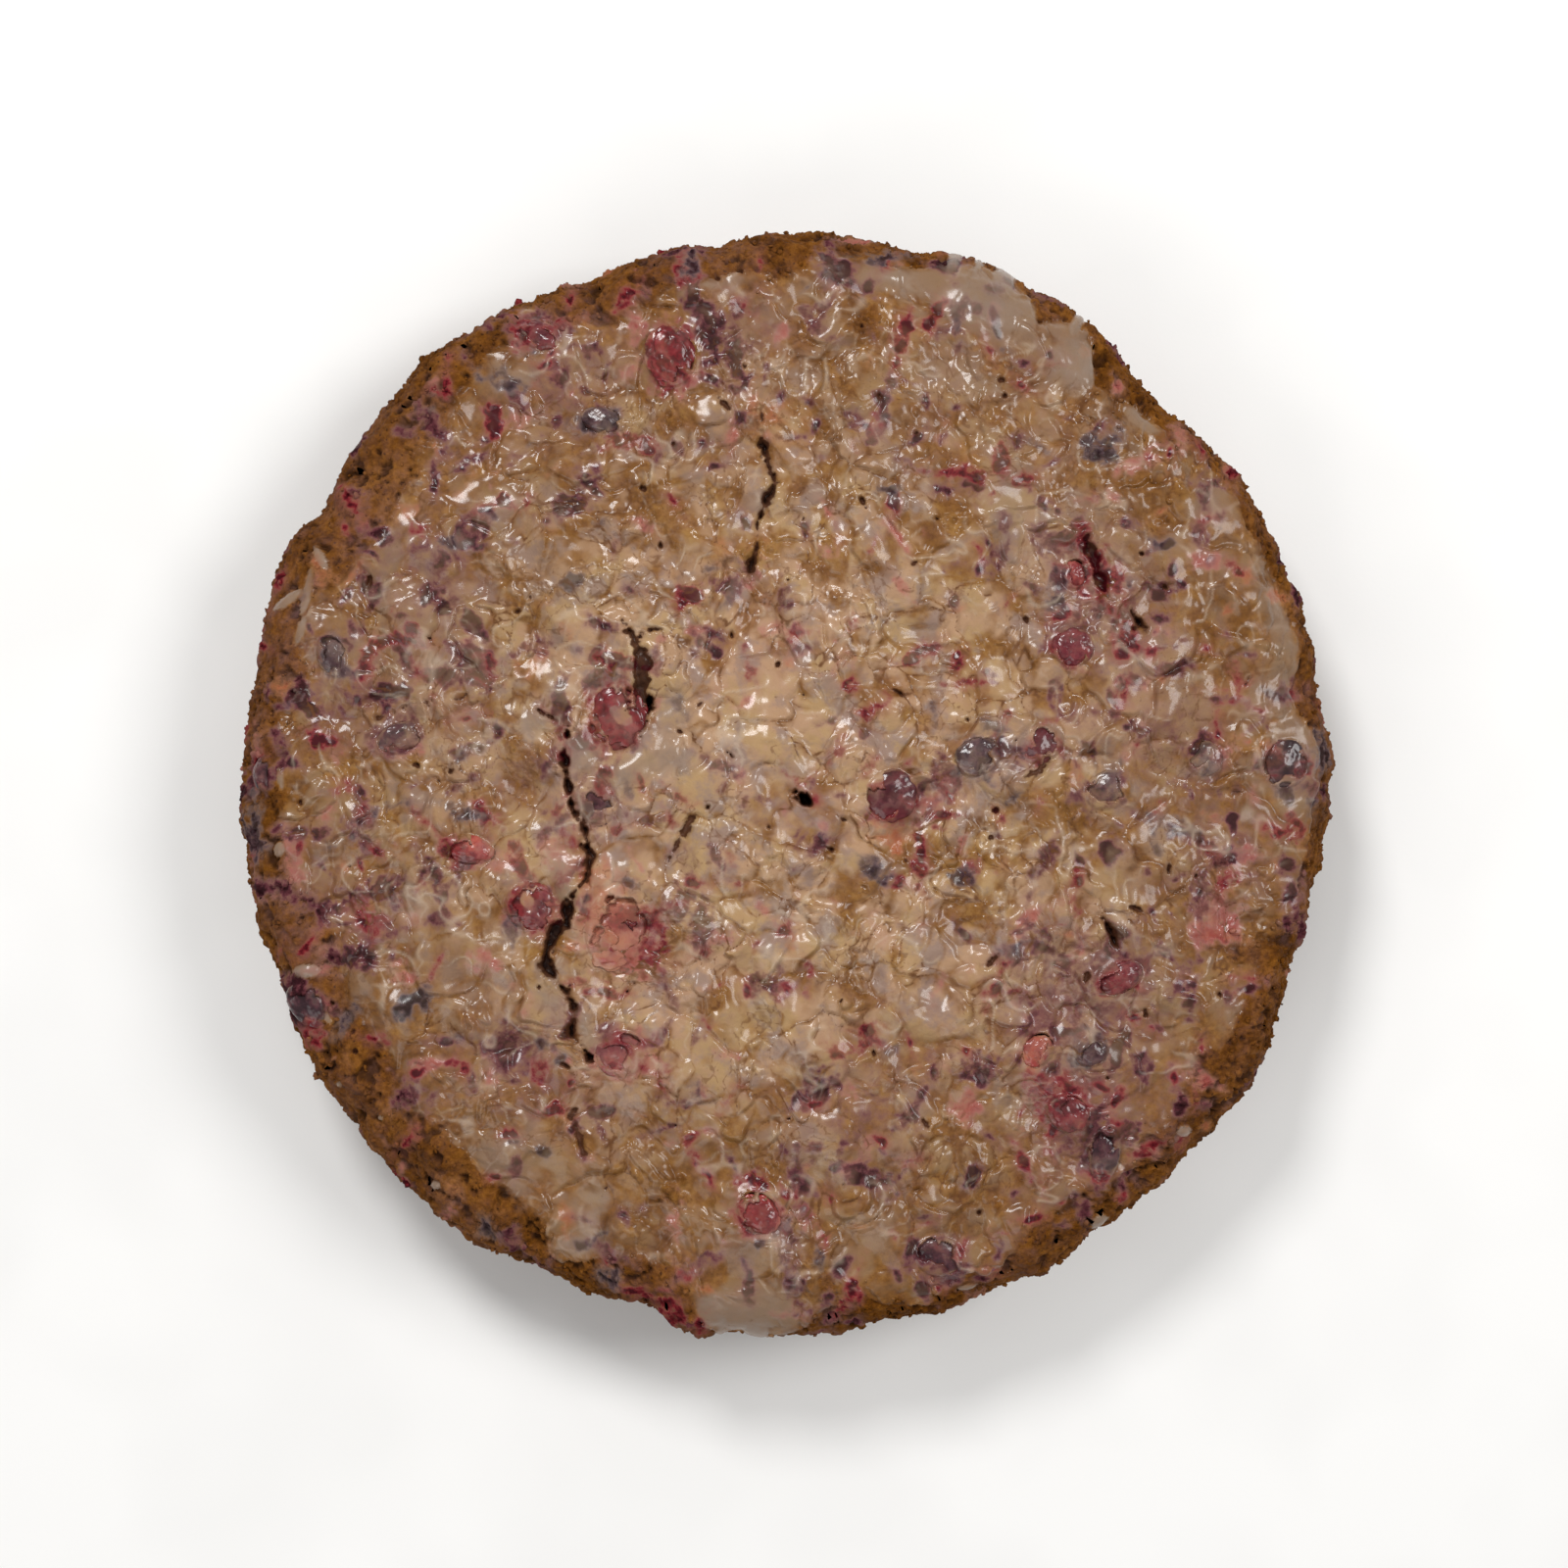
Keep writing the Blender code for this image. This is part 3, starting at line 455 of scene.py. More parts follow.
# How strongly each kind of fruit shows at a point: its usual strength, clusters that fall off as
# exp(-(away / spread)^2), and the placed and scattered bits as soft ellipses with a wide faint halo
def stainFields(x, y, flat, berries=True):
    fields = {}
    for turn, (kind, (usual, *_)) in enumerate(stains["kinds"].items()):
        fields[kind] = usual * (1 + 0.9 * layeredNoise(flat, 20.0, 401 + turn, 3))
    for kind, middleX, middleY, spread, strength in stains["clusters"]:
        near = np.exp(-((x - middleX) ** 2 + (y - middleY) ** 2) / spread ** 2)
        fields[kind] += stains["share"] * strength * near
    warp = layeredNoise(flat, 3.0, 411, 3, 0.6)

    def add(kind, middleX, middleY, halfLength, halfWidth, turn, strength):
        reach = max(halfLength, halfWidth) * 2 + 4
        near = np.flatnonzero((x - middleX) ** 2 + (y - middleY) ** 2 < reach ** 2)
        least = min(halfLength, halfWidth)
        away = ellipseDistance(x[near], y[near], middleX, middleY, halfLength, halfWidth, turn)
        away = away + warp[near] * min(2.2, 0.45 + 0.65 * least)
        soft = 0.45 + 0.45 * least
        mark = strength * (0.62 * rise(soft, -soft, away) + 0.38 * rise(3.6, -0.8, away))
        fields[kind][near] = np.maximum(fields[kind][near], mark)

    for kind, bits in stains["placed"].items():
        for bit in bits:
            add(kind, *bit)
    for bit in scattered:
        add(*bit)
    if berries:
        for kind, _, middleX, middleY, length, width, turn, _, film in fruit:
            own = stains["byFruit"][kind]
            add(own, middleX, middleY, length * 0.47, width * 0.47, turn, 0.85 - 0.45 * film)
            add("purple", middleX, middleY, length * 0.60, width * 0.60, turn, 0.35 - 0.15 * film)
    return fields


# Thickness of the glaze in mm, and how far a point lies in one of its smooth thick pools, 0 to 1
def glazeFields(points, angle, lean, flat):
    x, y = foldedOut(points)
    z = points[:, 2]
    radius = np.hypot(points[:, 0], points[:, 1])
    turns = np.degrees(angle) % 360
    stops = [stop for stop, _ in glaze["inset"]] + [360 + glaze["inset"][0][0]]
    insets = [inset for _, inset in glaze["inset"]] + [glaze["inset"][0][1]]
    reach = rimRadius(angle) - np.interp(turns, stops, insets)
    wander = 0.4 * layeredNoise(flat, 5.0, 501, 3, 0.6) + 0.9 * latticeNoise(flat, 8.0, 505)
    wander = glaze["wander"] * wander
    edge = np.where(lean < math.pi / 2 - 0.05, reach - radius, -9.0) + wander
    far = radius / bread["wideRadius"]
    usual = glaze["middle"] + (glaze["nearRim"] - glaze["middle"]) * rise(0.1, 0.95, far)
    patches = np.clip(1 + 0.95 * layeredNoise(flat, 10.0, 521, 3, 0.6), 0.12, 2)
    thickness = usual * patches * rise(-1.2, glaze["soak"], edge + wander)
    pool = np.zeros(len(x))
    for middleX, middleY, halfLength, halfWidth, turn, more in glaze["pools"]:
        away = ellipseDistance(x, y, middleX, middleY, halfLength, halfWidth, turn) + wander
        lies = rise(halfWidth * 0.7, -halfWidth * 0.8, away + 0.5 * wander)
        thickness = thickness + more * lies * np.sqrt(rise(-0.4, 2.4, edge))
        pool = np.maximum(pool, lies * min(1.0, more * 1.4) * rise(-0.4, 0.8, edge))
    for middleX, middleY, halfLength, halfWidth, turn, strength in glaze["bare"]:
        away = ellipseDistance(x, y, middleX, middleY, halfLength, halfWidth, turn) + 1.5 * wander
        thickness = thickness * (1 - strength * rise(halfWidth * 0.8, -halfWidth * 0.6, away))
    for middle, halfWidth, tip in glaze["runs"]:
        aside = np.abs((turns - middle + 180) % 360 - 180) * math.radians(1) * radius
        width = halfWidth * (0.62 + 0.38 * rise(9, 0, z - tip)) * (0.9 + 0.1 * np.sin(z * 0.9 + middle))
        run = width - np.hypot(aside, np.clip(tip + halfWidth - z, 0, None)) + 0.2 * wander
        run = run - 4 * rise(0.75, 0.3, lean)
        thickness = np.maximum(thickness, 0.75 * np.sqrt(rise(-0.1, 1.6, run)))
        pool = np.maximum(pool, rise(0.0, 0.8, run))
    for middleX, middleY, halfLength, halfWidth, turn, tall in glaze["drops"]:
        away = ellipseDistance(x, y, middleX, middleY, halfLength, halfWidth, turn) + 0.2 * wander
        thickness = np.maximum(thickness, tall * np.sqrt(np.clip(-away / halfWidth, 0, 1)))
        pool = np.maximum(pool, rise(0.1, -0.3, away))
    return np.clip(thickness, 0, None), pool


# Each berry swells the skin over it into a mound and breaks through it in a ragged opening. share is
# 0 in its middle and 1 on its outline: the mound follows lift + dome * sqrt(1 - share^2). Gives the
# mound's height, its share of the skin there, how far inside an opening a point lies, 0 to 1, and the
# way to the nearest one
def berryFields(x, y, flat):
    mound = np.zeros(len(x))
    over = np.zeros(len(x))
    inside = np.zeros(len(x))
    nearest = np.full(len(x), 99.0)
    ragged = layeredNoise(flat, 3.4, 391, 3, 0.6)
    for _, _, middleX, middleY, length, width, turn, height, film in fruit:
        near = np.flatnonzero((x - middleX) ** 2 + (y - middleY) ** 2 < length ** 2)
        half = min(length, width) / 2
        share = 1 + ellipseDistance(x[near], y[near], middleX, middleY, length / 2, width / 2, turn) / half
        lift = fruitForm["lift"] + height
        high = lift + fruitForm["dome"] * np.sqrt(np.clip(1 - share ** 2, 0, 1)) + fruitForm["skin"]
        mound[near] = np.maximum(mound[near], high * rise(1.55, 1.0, share))
        over[near] = np.maximum(over[near], rise(1.5, 0.95, share))
        opening = fruitForm["opening"] - fruitForm["closing"] * film + fruitForm["ragged"] * ragged[near]
        opening = np.minimum(opening, fruitForm["widest"]) - share
        inside[near] = np.maximum(inside[near], rise(-0.04, 0.14, opening))
        nearest[near] = np.minimum(nearest[near], -opening * half)
    return mound, over, inside, nearest


relief = {
    "sheet": 12.5, "plate": 6.2, "crease": 2.9,                # widths of the film's cells
    "pillow": 0.30, "tilt": 0.20, "groove": 0.08, "fold": 0.13, "facet": 0.17, "curl": 0.18,
    "swell": 0.75, "fine": 0.03,
    "lump": 0.60, "crumb": 0.50, "grit": 0.22, "pore": 1.0,    # of bare crust
    "level": 47.4, "press": 0.5,              # share of what stands above this height that is pressed down
}


# One size of cells of crumpled film, each bulging as pillow * (1 - (away / size)^2) and leaning its own way
def filmCells(flat, size, seed, pillow, tilt):
    away, gap, tone, way = cellPattern(flat, size, seed)
    lean = tilt * (way[:, 0] * np.cos(tone * 44) + way[:, 1] * np.sin(tone * 44))
    return pillow * (1 - (away / size) ** 2) + lean, gap, tone


# Crumpled sugar film: wide sheets, some whole and some broken into plates, folds in places, and curls
# along the zero lines of a noise. Gives the height, the distances to the nearest edge of a sheet or
# plate and to the nearest fold, the curls, and how thick the film lies
def wrinkleFields(flat):
    warped = stirred(stirred(flat, 9.0, 3.2, 655), 2.8, 1.3, 651)
    pillow = relief["pillow"]
    tilt = relief["tilt"]
    sheets, sheetGap, sheetTone = filmCells(warped, relief["sheet"], 645, pillow, 0.5 * tilt)
    plates, plateGap, plateTone = filmCells(warped, relief["plate"], 661, pillow, tilt)
    creased = stirred(flat, 2.0, 0.9, 661)
    folds, foldGap, foldTone = filmCells(creased, relief["crease"], 671, relief["fold"], relief["facet"])
    broken = rise(0.30, 0.55, sheetTone + 0.15 * layeredNoise(flat, 5.0, 665, 2))
    patchy = rise(-0.25, 0.35, layeredNoise(flat, 9.0, 681, 2))
    gap = np.minimum(sheetGap, plateGap + 4 * (1 - broken))
    height = sheets * (1 - 0.6 * broken) * rise(0, 2.2, sheetGap) + plates * broken * rise(0, 1.5, plateGap)
    height = height + folds * rise(0, 0.7, foldGap) * patchy * (0.4 + 0.6 * broken)
    height = height - relief["groove"] * rise(0.8, 0.1, gap)
    curled = stirred(flat, 4.0, 1.4, 601)
    curl = np.exp(-(latticeNoise(curled, 4.6, 611) / 0.07) ** 2)
    curl = curl * rise(0.0, 0.5, layeredNoise(flat, 8.0, 631, 2))
    finer = np.exp(-(latticeNoise(curled, 2.5, 621) / 0.10) ** 2)
    finer = finer * rise(0.1, 0.6, layeredNoise(flat, 6.0, 641, 2))
    curl = np.clip(curl + 0.6 * finer, 0, 1)
    height = height + relief["curl"] * curl + relief["swell"] * layeredNoise(flat, 7.5, 711, 2)
    height = height + relief["fine"] * layeredNoise(flat, 1.5, 701, 2)
    ragged = layeredNoise(flat, 2.6, 721, 3, 0.6)
    island = 0.30 + 0.70 * rise(-0.2, 1.8, gap + 0.8 * ragged)
    tone = 0.55 + 0.35 * sheetTone + broken * (0.55 * plateTone - 0.25) + 0.25 * patchy * (foldTone - 0.5)
    return height, gap, foldGap + 3 * (1 - patchy), curl, 1.35 * island * tone


# Bare crust: lumps, crumbs and grit of falling size, and pores where a noise is high
def crumbFields(flat):
    rough = stirred(flat, 1.3, 0.4, 741)
    _, gap, tone, _ = cellPattern(rough, 2.4, 751)
    _, gritGap, gritTone, _ = cellPattern(rough, 1.2, 761)
    pores = rise(0.30, 0.70, layeredNoise(flat, 2.6, 771, 3, 0.6))
    height = relief["lump"] * layeredNoise(flat, 5.0, 781, 2)
    height = height + relief["crumb"] * rise(0, 0.9, gap) * (0.3 + tone)
    height = height + relief["grit"] * rise(0, 0.4, gritGap) * (0.2 + gritTone) - relief["pore"] * pores
    return height, pores


# Every field of the skin at the points, and the points moved out along their way by the relief
def dressSkin(angle, along):
    points, way, lean = skinPoint(angle, along)
    flat = points
    x = points[:, 0]
    y = points[:, 1]
    top = lean < math.pi / 2 - 0.02
    thickness, pool = glazeFields(points, angle, lean, flat)
    crack, crackDepth = crackFields(x, y, flat)
    hole, holeDepth = holeFields(x, y, flat)
    mound, over, inside, opening = berryFields(x, y, flat)
    fields = stainFields(*foldedOut(points), flat)
    wrinkles, plateGap, crease, curl, patchwork = wrinkleFields(flat)
    crumb, pores = crumbFields(flat)
    film = rise(0.01, 0.09, thickness)
    height = thickness + film * (1 - 0.85 * pool) * wrinkles + (1 - film) * crumb
    height = np.where(top, height * (1 - 0.8 * over) + mound, height)
    lip = crackLook["lip"] * rise(2.6, 0.4, crack) * rise(0.0, 0.5, crack)
    deep = np.where(top, crackDepth + holeDepth, 0)
    height = height + np.where(top, lip, 0) - deep
    height = np.where(top & (inside > 0), height * (1 - inside) - fruitForm["pocketDepth"] * inside, height)
    height = height * rise(0.3, 3.5, points[:, 2])
    far = np.hypot(x, y) / bread["wideRadius"] + 0.07 * layeredNoise(flat, 9.0, 791, 3)
    veil = patchwork + (1.3 - patchwork) * pool
    fields.update(
        cover=1 - np.exp(-thickness / glaze["veil"] * veil), pool=pool, deep=deep,
        opening=np.where(top, opening, 9.0), plate=plateGap, crease=crease,
        curl=curl * film * (1 - pool), pore=pores * (1 - film), wet=film, brown=rise(0.35, 0.98, far))
    points = points + way * height[:, None]
    points[:, 2] -= relief["press"] * np.clip(points[:, 2] - relief["level"], 0, None)
    return points, fields


# A piece from points and faces in millimetres, with its fields as attributes
def finishPiece(name, points, faces, fields, material, normals=None):
    mesh = bpy.data.meshes.new(name)
    mesh.vertices.add(len(points))
    mesh.vertices.foreach_set("co", (points * mm).astype(np.float32).ravel())
    mesh.loops.add(faces.size)
    mesh.loops.foreach_set("vertex_index", faces.astype(np.int32).ravel())
    mesh.polygons.add(len(faces))
    mesh.polygons.foreach_set("loop_start", np.arange(0, faces.size, 3, dtype=np.int32))
    mesh.update(calc_edges=True)
    mesh.validate()
    mesh.shade_smooth()
    if normals is not None:
        mesh.normals_split_custom_set_from_vertices(normals)
    for field, values in fields.items():
        layer = mesh.attributes.new(field, "FLOAT", "POINT")
        layer.data.foreach_set("value", np.asarray(values, dtype=np.float32))
    piece = bpy.data.objects.new(name, mesh)
    bpy.context.scene.collection.objects.link(piece)
    mesh.materials.append(material)
    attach(piece, "root")
    return piece


# Triangles between ring k - 1 and ring k of a disc whose ring k has 6k evenly spaced corners
def discRing(k):
    start = 1 + 3 * k * (k - 1)
    before = 1 + 3 * (k - 1) * (k - 2)
    side, j = np.divmod(np.arange(6 * k), k)
    outer = start + (side * k + j) % (6 * k)
    outerNext = start + (side * k + j + 1) % (6 * k)
    if k == 1:
        return np.stack((np.zeros(6, dtype=int), outer, outerNext), axis=1)
    inner = before + (side * (k - 1) + j) % (6 * (k - 1))
    innerNext = before + (side * (k - 1) + j + 1) % (6 * (k - 1))
    own = np.stack((inner, outer, outerNext), axis=1)
    between = np.stack((inner, outerNext, innerNext), axis=1)[j < k - 1]
    return np.concatenate((own, between))


# Triangles between the rows of a grid of corners that closes round; a row runs counterclockwise
def gridFaces(index):
    a = index[:-1]
    b = index[1:]
    aNext = np.roll(a, -1, axis=1)
    bNext = np.roll(b, -1, axis=1)
    return np.concatenate((np.stack((a, b, bNext), axis=2).reshape(-1, 3),
                           np.stack((a, bNext, aNext), axis=2).reshape(-1, 3)))


# Triangles from a closed ring of corners to one point
def fan(ring, apex, flip):
    after = np.roll(ring, -1)
    tips = np.full(len(ring), apex)
    return np.stack((after, ring, tips) if flip else (ring, after, tips), axis=1)


# Mean of the faces' own normals round each corner, by area
def cornerNormals(points, faces):
    a, b, c = (points[faces[:, k]] for k in range(3))
    way = np.cross(b - a, c - a)
    total = np.zeros_like(points)
    for k in range(3):
        for axis in range(3):
            total[:, axis] += np.bincount(faces[:, k], way[:, axis], len(points))
    return total / np.maximum(np.linalg.norm(total, axis=1), 1e-9)[:, None]


skin = {
    "rings": 280, "middleRings": 178, "outerRings": 248, "shoulderRows": 44, "upperRows": 24, "sideRows": 34,
    "skirt": 16.0, "tip": 18.0,               # depth of the inner walls, height of the inner cones' tips
}


# The whole skin is worked out at once and then cut into pieces that meet in a ring: the middle and
# the outer part of the top, the shoulder, and the side. Each is closed by walls and cones inside the
# bread, where nothing shows, and keeps the normals of the whole
def buildSkin(material):
    rings = skin["rings"]
    angle = [np.zeros(1)]
    along = [np.zeros(1)]
    for k in range(1, rings + 1):
        angle.append(np.arange(6 * k) * math.tau / (6 * k))
        along.append(np.full(6 * k, k / rings))
    around = 6 * rings
    discCount = 1 + 3 * rings * (rings + 1)
    shoulderRows = np.linspace(1, 2, skin["shoulderRows"] + 1)[1:]
    sideRows = np.linspace(2, 3, skin["sideRows"] + 1)[1:]
    rows = np.concatenate((shoulderRows, sideRows))
    angle.append(np.tile(np.arange(around) * math.tau / around, len(rows)))
    along.append(np.repeat(rows, around))
    points, fields = dressSkin(np.concatenate(angle), np.concatenate(along))
    print("bread skin worked out at", len(points), "points")
    discFaces = [discRing(k) for k in range(1, rings + 1)]
    grid = np.arange(discCount - around, len(points)).reshape(-1, around)
    rowFaces = [gridFaces(grid[row:row + 2]) for row in range(len(rows))]
    normals = cornerNormals(points, np.concatenate(discFaces + rowFaces))
    middle = skin["middleRings"]
    outer = skin["outerRings"]
    upper = skin["upperRows"]
    parts = (
        ("breadMiddle", discFaces[:middle], None, middle),
        ("breadTop", discFaces[middle:outer], middle, outer),
        ("breadShoulder", discFaces[outer:] + rowFaces[:upper], outer, rings + upper),
        ("breadSide", rowFaces[upper:], rings + upper, rings + len(rows)))
    pieces = []
    for name, faces, innerRing, outerRing in parts:
        faces = np.concatenate(faces)
        closing = []
        hidden = []
        count = len(points)
        for ring, flip in ((innerRing, False), (outerRing, True)):
            if ring is None:
                continue
            first = 1 + 3 * ring * (ring - 1) if ring <= rings else discCount + (ring - rings - 1) * around
            corners = np.arange(first, first + 6 * min(ring, rings))
            if ring < rings:      # on the top it goes straight down first, deeper than any crack
                below = count + np.arange(len(corners))
                hidden.append(points[corners] - (0, 0, skin["skirt"]))
                wall = gridFaces(np.stack((corners, below)))
                closing.append(wall if flip else wall[:, ::-1])
                corners = below
                count += len(below)
            closing.append(fan(corners, count, flip))
            hidden.append(np.array([(0, 0, skin["tip"] - count % 2)]))
            count += 1
        faces = np.concatenate([faces] + closing)
        hidden = np.concatenate(hidden)
        used, faces = np.unique(faces, return_inverse=True)
        faces = faces.reshape(-1, 3)
        own = {field: np.append(values, np.zeros(len(hidden)))[used] for field, values in fields.items()}
        allPoints = np.concatenate((points, hidden))
        allNormals = np.concatenate((normals, np.tile((0, 0, -1), (len(hidden), 1))))
        pieces.append(finishPiece(name, allPoints[used], faces, own, material, allNormals[used]))
    return pieces


foot = {"around": 360, "rows": 70, "dent": 0.35}


# The flat underside: a polar disc that reaches the side's last ring, rounded up to it at its edge,
# with shallow dents that never reach below the floor
def buildFoot(material):
    turns = np.arange(foot["around"]) * math.tau / foot["around"]
    shares = np.linspace(0, 1, foot["rows"] + 1)[1:]
    bend = np.array((0.35, 0.7, 1.0))
    angle = np.tile(turns, len(shares) + len(bend))
    rim = rimRadius(angle) - (bread["wideRadius"] - bread["footRadius"]) - bread["footRound"]
    share = np.repeat(np.concatenate((shares, np.ones(len(bend)))), foot["around"])
    lean = np.repeat(np.concatenate((np.zeros(len(shares)), bend)), foot["around"]) * math.pi / 2
    radius = rim * share + bread["footRound"] * np.sin(lean)
    height = bread["footRound"] * (1 - np.cos(lean)) * 1.02
    points = np.stack((radius * np.cos(angle), radius * np.sin(angle), height), axis=1)
    dents = np.clip(layeredNoise(points, 7.0, 801, 4, 0.6), 0, 1)
    points[:, 2] += foot["dent"] * dents * rise(1.0, 0.97, share)
    points = np.concatenate(([[0, 0, 0]], points, [[0, 0, 15]]))
    index = 1 + np.arange(len(points) - 2).reshape(-1, foot["around"])
    caps = (fan(index[0], 0, True), fan(index[-1], len(points) - 1, False))
    faces = np.concatenate((gridFaces(index)[:, ::-1], *caps))
    empty = {"cover": 0, "pool": 0, "deep": 0, "opening": 9, "plate": 9, "crease": 9, "curl": 0, "wet": 0,
             "brown": 1.0, "blue": 0.05, "red": 0.05, "pink": 0.1, "orange": 0}
    fields = {name: np.full(len(points), value) for name, value in empty.items()}
    # the dark pores of the underside are painted shade
    fields["pore"] = rise(0.4, 0.9, layeredNoise(points, 3.0, 811, 3))
    fields["purple"] = 0.8 * rise(0.35, 0.8, layeredNoise(points, 9.0, 821, 2))
    return finishPiece("breadFoot", points, faces, fields, material)


# Corners of a ball, from its lowest point up in rows to its highest, and its faces
def ballGrid(across, rows):
    lon = np.tile(np.arange(across) * math.tau / across, rows - 1)
    lat = np.repeat(np.linspace(-math.pi / 2, math.pi / 2, rows + 1)[1:-1], across)
    ball = np.stack((np.cos(lat) * np.cos(lon), np.cos(lat) * np.sin(lon), np.sin(lat)), axis=1)
    ball = np.concatenate(([[0, 0, -1]], ball, [[0, 0, 1]]))
    index = 1 + np.arange(len(ball) - 2).reshape(-1, across)
    caps = (fan(index[0], 0, True), fan(index[-1], len(ball) - 1, False))
    faces = np.concatenate((gridFaces(index)[:, ::-1], *caps))
    return ball, faces


crumbs = {"count": 2600, "across": 6, "rows": 4, "least": 0.25, "most": 0.95, "lowest": 0.4, "seed": 37}


# Loose crumbs on the bare crust of shoulder and side: small balls with jittered corners, half sunk
def buildCrumbs(material):
    draw = np.random.RandomState(crumbs["seed"])
    angle = draw.uniform(0, math.tau, crumbs["count"])
    along = draw.uniform(0.97, 2.9, crumbs["count"])
    places, fields = dressSkin(angle, along)
    bare = fields["cover"] < 0.25
    places = places[bare]
    ball, faces = ballGrid(crumbs["across"], crumbs["rows"])
    size = crumbs["least"] + (crumbs["most"] - crumbs["least"]) * draw.uniform(0, 1, len(places)) ** 2.5
    corners = ball[None] * draw.uniform(0.65, 1.25, (len(places), len(ball), 1))
    corners = corners * draw.uniform(0.6, 1.2, (len(places), 1, 3))
    points = (places[:, None] + corners * size[:, None, None]).reshape(-1, 3)
    points[:, 2] = np.maximum(points[:, 2], crumbs["lowest"])
    allFaces = (faces[None] + len(ball) * np.arange(len(places))[:, None, None]).reshape(-1, 3)
    own = {name: np.repeat(values[bare], len(ball)) for name, values in fields.items()}
    own["pore"] = np.zeros(len(points))
    print(len(places), "crumbs made")
    return finishPiece("crumbs", points, allFaces, own, material)


fruitLook = {"grid": (84, 52), "drupelet": 2.6, "bump": 0.11, "pit": 0.05}


# Evenly spread directions: each turned by the golden angle from the last, at equal steps of height
def evenDirections(count):
    step = np.arange(count)
    height = 1 - (2 * step + 1) / count
    turn = step * math.pi * (3 - math.sqrt(5))
    flat = np.sqrt(1 - height ** 2)
    return np.stack((flat * np.cos(turn), flat * np.sin(turn), height), axis=1)


# One berry: a ball with a low dome and a deeper body, wrinkled by noise and swollen into drupelets
# (raspberry), puckered round a crown (blueberry), pitted with pips (strawberry) or folded (cherry)
def berryShape(kind, number, x, y, length, width, turn, height, film):
    ball, faces = ballGrid(*fruitLook["grid"])
    seed = 900 + 10 * number + len(kind)
    swell = 1 + 0.09 * layeredNoise(ball, 0.9, seed, 4, 0.6)
    if kind == "raspberry":
        seeds = evenDirections(max(30, int(2.4 * length * width / fruitLook["drupelet"] ** 2)))
        seeds = seeds + 0.12 * np.random.RandomState(seed).uniform(-1, 1, seeds.shape)
        near = np.sort(((ball[:, None, :] - seeds[None]) ** 2).sum(axis=2), axis=1)[:, 0]
        spacing = math.sqrt(4 * math.pi / len(seeds))
        bump = np.sqrt(np.clip(1 - near / (spacing * 0.62) ** 2, 0, 1))
        swell = swell + fruitLook["bump"] * (bump - 0.7)
        cleft = rise(0.55, 0.1, bump)
    elif kind == "blueberry":
        crown = np.array((0.72, 0.25, 0.65))
        away = np.sqrt(((ball - crown) ** 2).sum(axis=1))
        spokes = 0.5 + 0.5 * np.cos(5 * np.arctan2(ball[:, 1] - crown[1], ball[:, 0] - crown[0]))
        swell = swell - 0.14 * np.exp(-(away / 0.22) ** 2)
        swell = swell + 0.04 * np.exp(-((away - 0.33) / 0.08) ** 2) * spokes
        cleft = np.exp(-(away / 0.20) ** 2)
    elif kind == "strawberry":
        pips = evenDirections(60)
        near = np.sqrt(((ball[:, None, :] - pips[None]) ** 2).sum(axis=2)).min(axis=1)
        swell = swell - 0.16 * np.clip(ball[:, 0], 0, 1) - fruitLook["pit"] * np.exp(-(near / 0.10) ** 2)
        swell = swell + 0.07 * layeredNoise(ball, 0.5, seed + 3, 3)
        cleft = np.exp(-(near / 0.09) ** 2)
    else:
        fold = np.exp(-(ball[:, 1] / 0.20) ** 2) * rise(-0.2, 0.6, ball[:, 0])
        swell = swell - 0.10 * fold
        cleft = fold
    tall = np.where(ball[:, 2] > 0, fruitForm["dome"], fruitForm["body"])
    points = ball * np.stack((swell * length / 2, swell * width / 2, swell * tall), axis=1)
    cosTurn = math.cos(math.radians(turn))
    sinTurn = math.sin(math.radians(turn))
    alongX = points[:, 0] * cosTurn - points[:, 1] * sinTurn
    alongY = points[:, 0] * sinTurn + points[:, 1] * cosTurn
    points = np.stack((alongX, alongY, points[:, 2]), axis=1)
    over = math.hypot(x, y) - (bread["wideRadius"] - bread["shoulderRun"])
    if over > 0:      # on the shoulder it leans outwards with the crust
        lean = math.asin(min(1.0, over / bread["shoulderRun"])) * fruitForm["shoulderLean"]
        axis = np.array((-y, x, 0)) / math.hypot(x, y)
        along = (points @ axis)[:, None] * axis
        across = np.cross(axis, points)
        points = points * math.cos(lean) + across * math.sin(lean) + along * (1 - math.cos(lean))
    points = points + (x, y, surfaceHeight(x, y) + height + fruitForm["lift"])
    points[:, 2] += 0.16 * layeredNoise(points, 2.2, 905, 2)
    fields = stainFields(points[:, 0], points[:, 1], points, berries=False)
    aside = np.sqrt((ball[:, 0] - 0.1) ** 2 + (ball[:, 1] + 0.1) ** 2)
    lump = rise(0.55, 0.25, aside + 0.25 * layeredNoise(ball, 0.7, seed + 5, 2))
    lump = lump * ((kind, number) in fruitForm["lumps"])
    fields.update(film=(0.5 + 0.5 * film) * film + 0.5 * rise(0.62, 0.2, ball[:, 2]) + lump, cleft=cleft)
    return points, faces, fields


# All the berries of a kind are one piece, which takes the place of their nodes
def buildFruit(materials):
    plural = {"raspberry": "raspberries", "strawberry": "strawberryPieces", "cherry": "cherries",
              "blueberry": "blueberries"}
    for kind, material in materials.items():
        points = []
        faces = []
        fields = []
        nodes = []
        for one in fruit:
            if one[0] == kind:
                corners, triangles, own = berryShape(*one)
                faces.append(triangles + sum(len(other) for other in points))
                points.append(corners)
                fields.append(own)
                nodes.append(f"{kind}_{one[1]}")
        joined = {name: np.concatenate([own[name] for own in fields]) for name in fields[0]}
        piece = finishPiece(plural[kind], np.concatenate(points), np.concatenate(faces), joined, material)
        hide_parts(*nodes)
        print(plural[kind], "made for", len(nodes), "berries")


